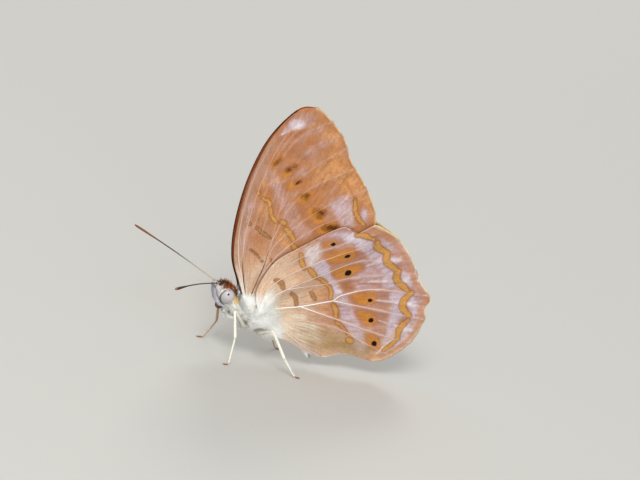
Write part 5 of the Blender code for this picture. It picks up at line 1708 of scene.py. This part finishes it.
class YeomanWings(bpy.types.PropertyGroup):
    sheet: size_property("Sheet", 0.15, "Thickness of a wing's sheet")
    sheet_edge: size_property("Sheet, edge", 0.07, "Thickness of a wing's sheet at its margin")
    fringe_length: size_property("Fringe", 0.235, "Length of the fringe scales")
    hair_length: size_property("Wing hair length", 0.9, "Length of the silky hairs on the wings")
    tuft_length: size_property("Root tuft", 4.2, "Longest white hairs over the wings' roots")
    ground: colour_property("Ground", "#C38658", "Ground colour of the underside")
    ground_warm: colour_property("Ground, warm", "#C37C48", "Warmer drifts of the ground")
    ground_pink: colour_property("Ground, pink", "#C4927C", "Pinker drifts of the ground")
    hind_pink: colour_property("Pink", "#BD8B7A", "Pinkish brown of the hindwing's outer half")
    costal_grey: colour_property("Front edge", "#B5917F", "Greyish scales along the forewing's front edge")
    costal_dark: colour_property("Front rim", "#54261A", "Dark rim of the forewing's front edge")
    orange: colour_property("Orange", "#DFA067", "Warm field inside the outer edge")
    rust: colour_property("Rust", "#B07452", "Redder brown between the marks")
    olive: colour_property("Olive", "#A08048", "Olive brown of the hindwing's inner edge")
    cream: colour_property("Cream", "#F5EDDA", "Cream streaks on the hindwing's inner third")
    inner_tan: colour_property("Tan", "#E8C8AA", "Pale tan of the wing's inner third")
    # Lilac and silver of the bands: partly the scales' colour, partly painted iridescent sheen
    lilac_and_sheen: colour_property("Lilac", "#D5C4D0", "Silvery lilac bands")
    silver_and_sheen: colour_property("Silver", "#EAE2E5", "Brightest parts of the lilac bands")
    vein_side: colour_property("Beside veins", "#D3AE9E", "Paler scales beside the veins")
    # White of the root hair; laid on the wing sheets it is partly painted glare
    root_white_and_glare: colour_property("Root white", "#FFFFFA", "White hair at the wings' roots")
    halo: colour_property("Halo", "#D48C3A", "Orange round the dark spots")
    halo_red: colour_property("Halo, outside", "#BC7A4E", "Redder brown where a halo fades out")
    bar_tawny: colour_property("Bars", "#BE8B58", "Tawny middle of the inner bars")
    ochre: colour_property("Ochre", "#D79E54", "Ochre bars")
    ochre_rim: colour_property("Ochre rim", "#9C6434", "Brown outline of the ochre bars")
    brown: colour_property("Brown", "#8E541F", "Brown marks")
    black: colour_property("Black", "#1C0703", "Black spots")
    dusk: colour_property("Dusk", "#521F08", "Dark middle of the forewing's smudges")
    # Painted highlight on the folds and rims that catch light
    fold_highlight_white: colour_property("Fold white", "#EFE3E2", "White folds and bright veins")
    margin_line: colour_property("Margin", "#CC9066", "Orange tan line inside the margin")
    edge_cream: colour_property("Edge", "#F0D8A4", "Cream fringe")
    vein_pale: colour_property("Vein", "#E6CDC2", "Pale scales on the veins")
    vein_dark: colour_property("Bare vein", "#4A2414", "Bare veins near the forewing's root")
    hair_cream: colour_property("Wing hair", "#F0E2C4", "Cream hair on the hindwing's inner third")
    upper_orange: colour_property("Upper side", "#A85524", "Ground colour of the hidden upper side")
    upper_dark: colour_property("Upper rim", "#4A2214", "Dark border of the upper side")


class YeomanHead(bpy.types.PropertyGroup):
    fur_length: size_property("Head fur", 0.45, "Longest hairs of the head's coat")
    crown_height: size_property("Crown height", 0.85, "Longest bristles on top of the head")
    tongue_radius: size_property("Tongue radius", 0.11, "Half thickness of the coiled tongue")
    feeler_radius: size_property("Feeler radius", 0.105, "Half thickness of a feeler's shaft")
    eye: colour_property("Eye", "#C9C3C6", "Grey of the compound eye")
    # Painted shade on the eye's lower half
    eye_painted_shade: colour_property("Eye, lower", "#979C95", "Darker grey of the eye's lower half")
    eye_dark: colour_property("Eye spot", "#23252E", "Dark spot and rim of the eye")
    face_grey: colour_property("Face", "#D2CDC8", "Grey scales of the face")
    palp_grey: colour_property("Palp", "#DEDCE4", "Lilac grey of the palps")
    crown_brown: colour_property("Crown", "#8A5228", "Red brown hair on top of the head")
    crown_rust: colour_property("Crown, middle", "#C46A2C", "Red bristles in the middle of the crown")
    crown_dark: colour_property("Dark hair", "#34200F", "Dark bristles by the feelers and behind the eye")
    collar_ochre: colour_property("Collar", "#EBBF55", "Ochre tuft behind the eye")
    horn_dark: colour_property("Horn", "#2E1A0E", "Tongue and feelers")
    # Grey of the feelers' lower shaft, partly painted light: full on the far feeler, faint on the near one
    antenna_grey_and_light: colour_property("Feeler, root", "#B5A793", "Grey scales on the feelers' lower part")
    antenna_tip: colour_property("Feeler, tip", "#9A5A24", "Orange brown tip of the club")


class YeomanBody(bpy.types.PropertyGroup):
    fur_length: size_property("Body fur", 1.1, "Longest hairs of the thorax")
    scale_length: size_property("Abdomen scales", 0.5, "Longest scales of the abdomen")
    chest_length: size_property("Chest hair", 1.15, "Longest hairs under the breast")
    thorax_white: colour_property("Thorax", "#FDFDF8", "White hair of the thorax")
    thorax_grey: colour_property("Thorax, below", "#E9E6DC", "Grey hair below the thorax")
    back_brown: colour_property("Back", "#8A6A48", "Brown hair on the back")
    abdomen_cream: colour_property("Abdomen", "#E3D6BA", "Cream scales of the abdomen")
    abdomen_tan: colour_property("Abdomen, above", "#B08657", "Tan scales on the abdomen's back")
    leg_cream: colour_property("Leg", "#FFFCEC", "Cream scales of the legs")
    # Tan of the legs' inner side, also painted shade on the far legs' shins
    leg_tan_and_shade: colour_property("Leg, inside", "#A07A50", "Tan inner side of the legs")
    foot_orange: colour_property("Foot", "#9A5A2C", "Orange brown feet and claws")


class YeomanStage(bpy.types.PropertyGroup):
    floor: colour_property("Floor", "#C9C8C3", "Pale board that the animal stands on")
    floor_size: size_property("Floor size", 6000.0, "Side of the floor")
    key_power: power_property("Key lamp", 3.3, "Power of the main soft box")
    fill_power: power_property("Fill lamp", 1.8, "Power of the other soft boxes")
    sky: power_property("Sky", 0.58, "Strength of the pale surroundings")


class YEOMAN_OT_stage(bpy.types.Operator):
    """Sets the floor, the soft boxes, the pale surroundings and the camera"""

    bl_idname = "yeoman.stage"
    bl_label = "Stage"

    def execute(self, context):
        stage = context.scene.yeoman_stage
        half = stage.floor_size / 2
        corners = [(-half, -half, 0), (half, -half, 0), (half, half, 0), (-half, half, 0)]
        mesh = bpy.data.meshes.new("floor")
        mesh.from_pydata(corners, [], [(0, 1, 2, 3)])
        mesh.materials.append(floor_finish(stage))
        floor = bpy.data.objects.new("floor", mesh)
        context.scene.collection.objects.link(floor)
        world = bpy.data.worlds.new("pale surroundings")
        world.use_nodes = True
        ground = world.node_tree.nodes["Background"]
        ground.inputs["Color"].default_value = (0.96, 0.98, 1.0, 1.0)
        ground.inputs["Strength"].default_value = stage.sky
        context.scene.world = world
        add_lamp("key", (-0.28, -0.45, 0.62), 0.30, stage.key_power, (1.0, 0.97, 0.92))
        add_lamp("fill", (-0.12, -0.72, 0.07), 0.50, 1.15 * stage.fill_power, (0.95, 0.97, 1.0))
        add_lamp("rim", (0.25, 0.60, 0.55), 0.30, stage.fill_power, (1.0, 0.98, 0.95))
        context.scene.view_settings.view_transform = "Standard"
        add_camera()
        return {"FINISHED"}


def make_wing_parts(make, context):
    """Makes the same part of all four wings."""
    for word, side in SIDES:
        for kind in WINGS:
            make(kind, word, side, context.scene.yeoman_wings)
    return {"FINISHED"}


class YEOMAN_OT_wings(bpy.types.Operator):
    """Makes the four wing sheets with their marks"""

    bl_idname = "yeoman.wings"
    bl_label = "Wing sheets"

    def execute(self, context):
        return make_wing_parts(make_wing, context)


class YEOMAN_OT_veins(bpy.types.Operator):
    """Makes the veins of the four wings"""

    bl_idname = "yeoman.veins"
    bl_label = "Veins"

    def execute(self, context):
        return make_wing_parts(make_veins, context)


class YEOMAN_OT_fringes(bpy.types.Operator):
    """Makes the fringe scales along the wings' outer edges"""

    bl_idname = "yeoman.fringes"
    bl_label = "Fringes"

    def execute(self, context):
        return make_wing_parts(make_fringe, context)


class YEOMAN_OT_wing_hair(bpy.types.Operator):
    """Makes the silky hairs that lie on the inner parts of the wings"""

    bl_idname = "yeoman.wing_hair"
    bl_label = "Wing hair"

    def execute(self, context):
        return make_wing_parts(make_wing_hair, context)


class YEOMAN_OT_root_tufts(bpy.types.Operator):
    """Makes the long white hair of the thorax that spreads over the wings' roots"""

    bl_idname = "yeoman.root_tufts"
    bl_label = "Root tufts"

    def execute(self, context):
        for word, side in SIDES:
            make_root_tuft(word, side, context.scene.yeoman_wings)
        return {"FINISHED"}


class YEOMAN_OT_skin(bpy.types.Operator):
    """Makes the one skin of abdomen, thorax and head"""

    bl_idname = "yeoman.skin"
    bl_label = "Body skin"

    def execute(self, context):
        make_body_skin(context.scene.yeoman_head, context.scene.yeoman_body)
        return {"FINISHED"}


class YEOMAN_OT_coat(bpy.types.Operator):
    """Makes the hair and scales that lie over the body"""

    bl_idname = "yeoman.coat"
    bl_label = "Body coat"

    def execute(self, context):
        head, body = context.scene.yeoman_head, context.scene.yeoman_body
        scale, fur, face = body.scale_length / MM, body.fur_length / MM, head.fur_length / MM
        for row in (
            ("abdomen", 6000, (0.005, 0.46), (0.6 * scale, scale), 0.08, 0.10, SEED + 60, 0.125),
            ("thorax_rear", 9000, (0.42, 0.62), (0.55 * fur, fur), 0.08, 0.28, SEED + 61, 0.11),
            ("thorax_front", 9000, (0.55, 0.76), (0.45 * fur, 0.86 * fur), 0.08, 0.30, SEED + 62, 0.11),
            ("head", 11000, (0.74, 0.99), (0.49 * face, face), 0.055, 0.35, SEED + 63, 0.10),
        ):
            make_coat(head, body, *row)
        return {"FINISHED"}


class YEOMAN_OT_chest(bpy.types.Operator):
    """Makes the shaggy hair under the head and on the breast"""

    bl_idname = "yeoman.chest"
    bl_label = "Chest hair"

    def execute(self, context):
        make_chest(context.scene.yeoman_head, context.scene.yeoman_body, SEED + 65)
        return {"FINISHED"}


class YEOMAN_OT_crown(bpy.types.Operator):
    """Makes the brush of bristles on top of the head"""

    bl_idname = "yeoman.crown"
    bl_label = "Crown"

    def execute(self, context):
        make_crown(context.scene.yeoman_head, SEED + 64)
        return {"FINISHED"}


class YEOMAN_OT_eyes(bpy.types.Operator):
    """Makes the two compound eyes"""

    bl_idname = "yeoman.eyes"
    bl_label = "Eyes"

    def execute(self, context):
        for word, side in SIDES:
            make_eye(word, side, context.scene.yeoman_head)
        return {"FINISHED"}


class YEOMAN_OT_palps(bpy.types.Operator):
    """Makes the two palps before the face"""

    bl_idname = "yeoman.palps"
    bl_label = "Palps"

    def execute(self, context):
        make_palps(context.scene.yeoman_head)
        return {"FINISHED"}


class YEOMAN_OT_tongue(bpy.types.Operator):
    """Makes the coiled tongue"""

    bl_idname = "yeoman.tongue"
    bl_label = "Tongue"

    def execute(self, context):
        make_tongue(context.scene.yeoman_head)
        return {"FINISHED"}


class YEOMAN_OT_feelers(bpy.types.Operator):
    """Makes the two feelers with their clubs"""

    bl_idname = "yeoman.feelers"
    bl_label = "Feelers"

    def execute(self, context):
        make_antennae(context.scene.yeoman_head)
        return {"FINISHED"}


class YEOMAN_OT_legs(bpy.types.Operator):
    """Makes the four walking legs with their claws and the hair over their roots"""

    bl_idname = "yeoman.legs"
    bl_label = "Walking legs"

    def execute(self, context):
        for name, joints in LEGS.items():
            make_leg(name, joints, context.scene.yeoman_body)
        return {"FINISHED"}


class YEOMAN_OT_forelegs(bpy.types.Operator):
    """Makes the two small forelegs, folded up like brushes"""

    bl_idname = "yeoman.forelegs"
    bl_label = "Forelegs"

    def execute(self, context):
        for word, side in SIDES:
            make_foreleg(word, side, context.scene.yeoman_body)
        return {"FINISHED"}


GROUPS = {
    "yeoman_wings": YeomanWings,
    "yeoman_head": YeomanHead,
    "yeoman_body": YeomanBody,
    "yeoman_stage": YeomanStage,
}
STEPS = (
    YEOMAN_OT_stage,
    YEOMAN_OT_wings,
    YEOMAN_OT_veins,
    YEOMAN_OT_fringes,
    YEOMAN_OT_wing_hair,
    YEOMAN_OT_root_tufts,
    YEOMAN_OT_skin,
    YEOMAN_OT_coat,
    YEOMAN_OT_chest,
    YEOMAN_OT_crown,
    YEOMAN_OT_eyes,
    YEOMAN_OT_palps,
    YEOMAN_OT_tongue,
    YEOMAN_OT_feelers,
    YEOMAN_OT_legs,
    YEOMAN_OT_forelegs,
)


class YEOMAN_PT_panel(bpy.types.Panel):
    """Lists the steps that dress the butterfly, and its sizes and colours"""

    bl_idname = "YEOMAN_PT_panel"
    bl_label = "Common yeoman butterfly"
    bl_space_type = "VIEW_3D"
    bl_region_type = "UI"
    bl_category = "Yeoman"

    def draw(self, context):
        for step in STEPS:
            self.layout.operator(step.bl_idname)
        for key, group in GROUPS.items():
            box = self.layout.box()
            for name in group.__annotations__:
                box.prop(getattr(context.scene, key), name)


def register():
    for made in (*GROUPS.values(), *STEPS, YEOMAN_PT_panel):
        bpy.utils.register_class(made)
    for key, group in GROUPS.items():
        setattr(bpy.types.Scene, key, bpy.props.PointerProperty(type=group))


def unregister():
    for key in GROUPS:
        delattr(bpy.types.Scene, key)
    for made in reversed((*GROUPS.values(), *STEPS, YEOMAN_PT_panel)):
        bpy.utils.unregister_class(made)


def main():
    register()
    for step in STEPS:
        getattr(bpy.ops.yeoman, step.bl_idname.split(".")[1])()


if __name__ == "__main__":
    main()
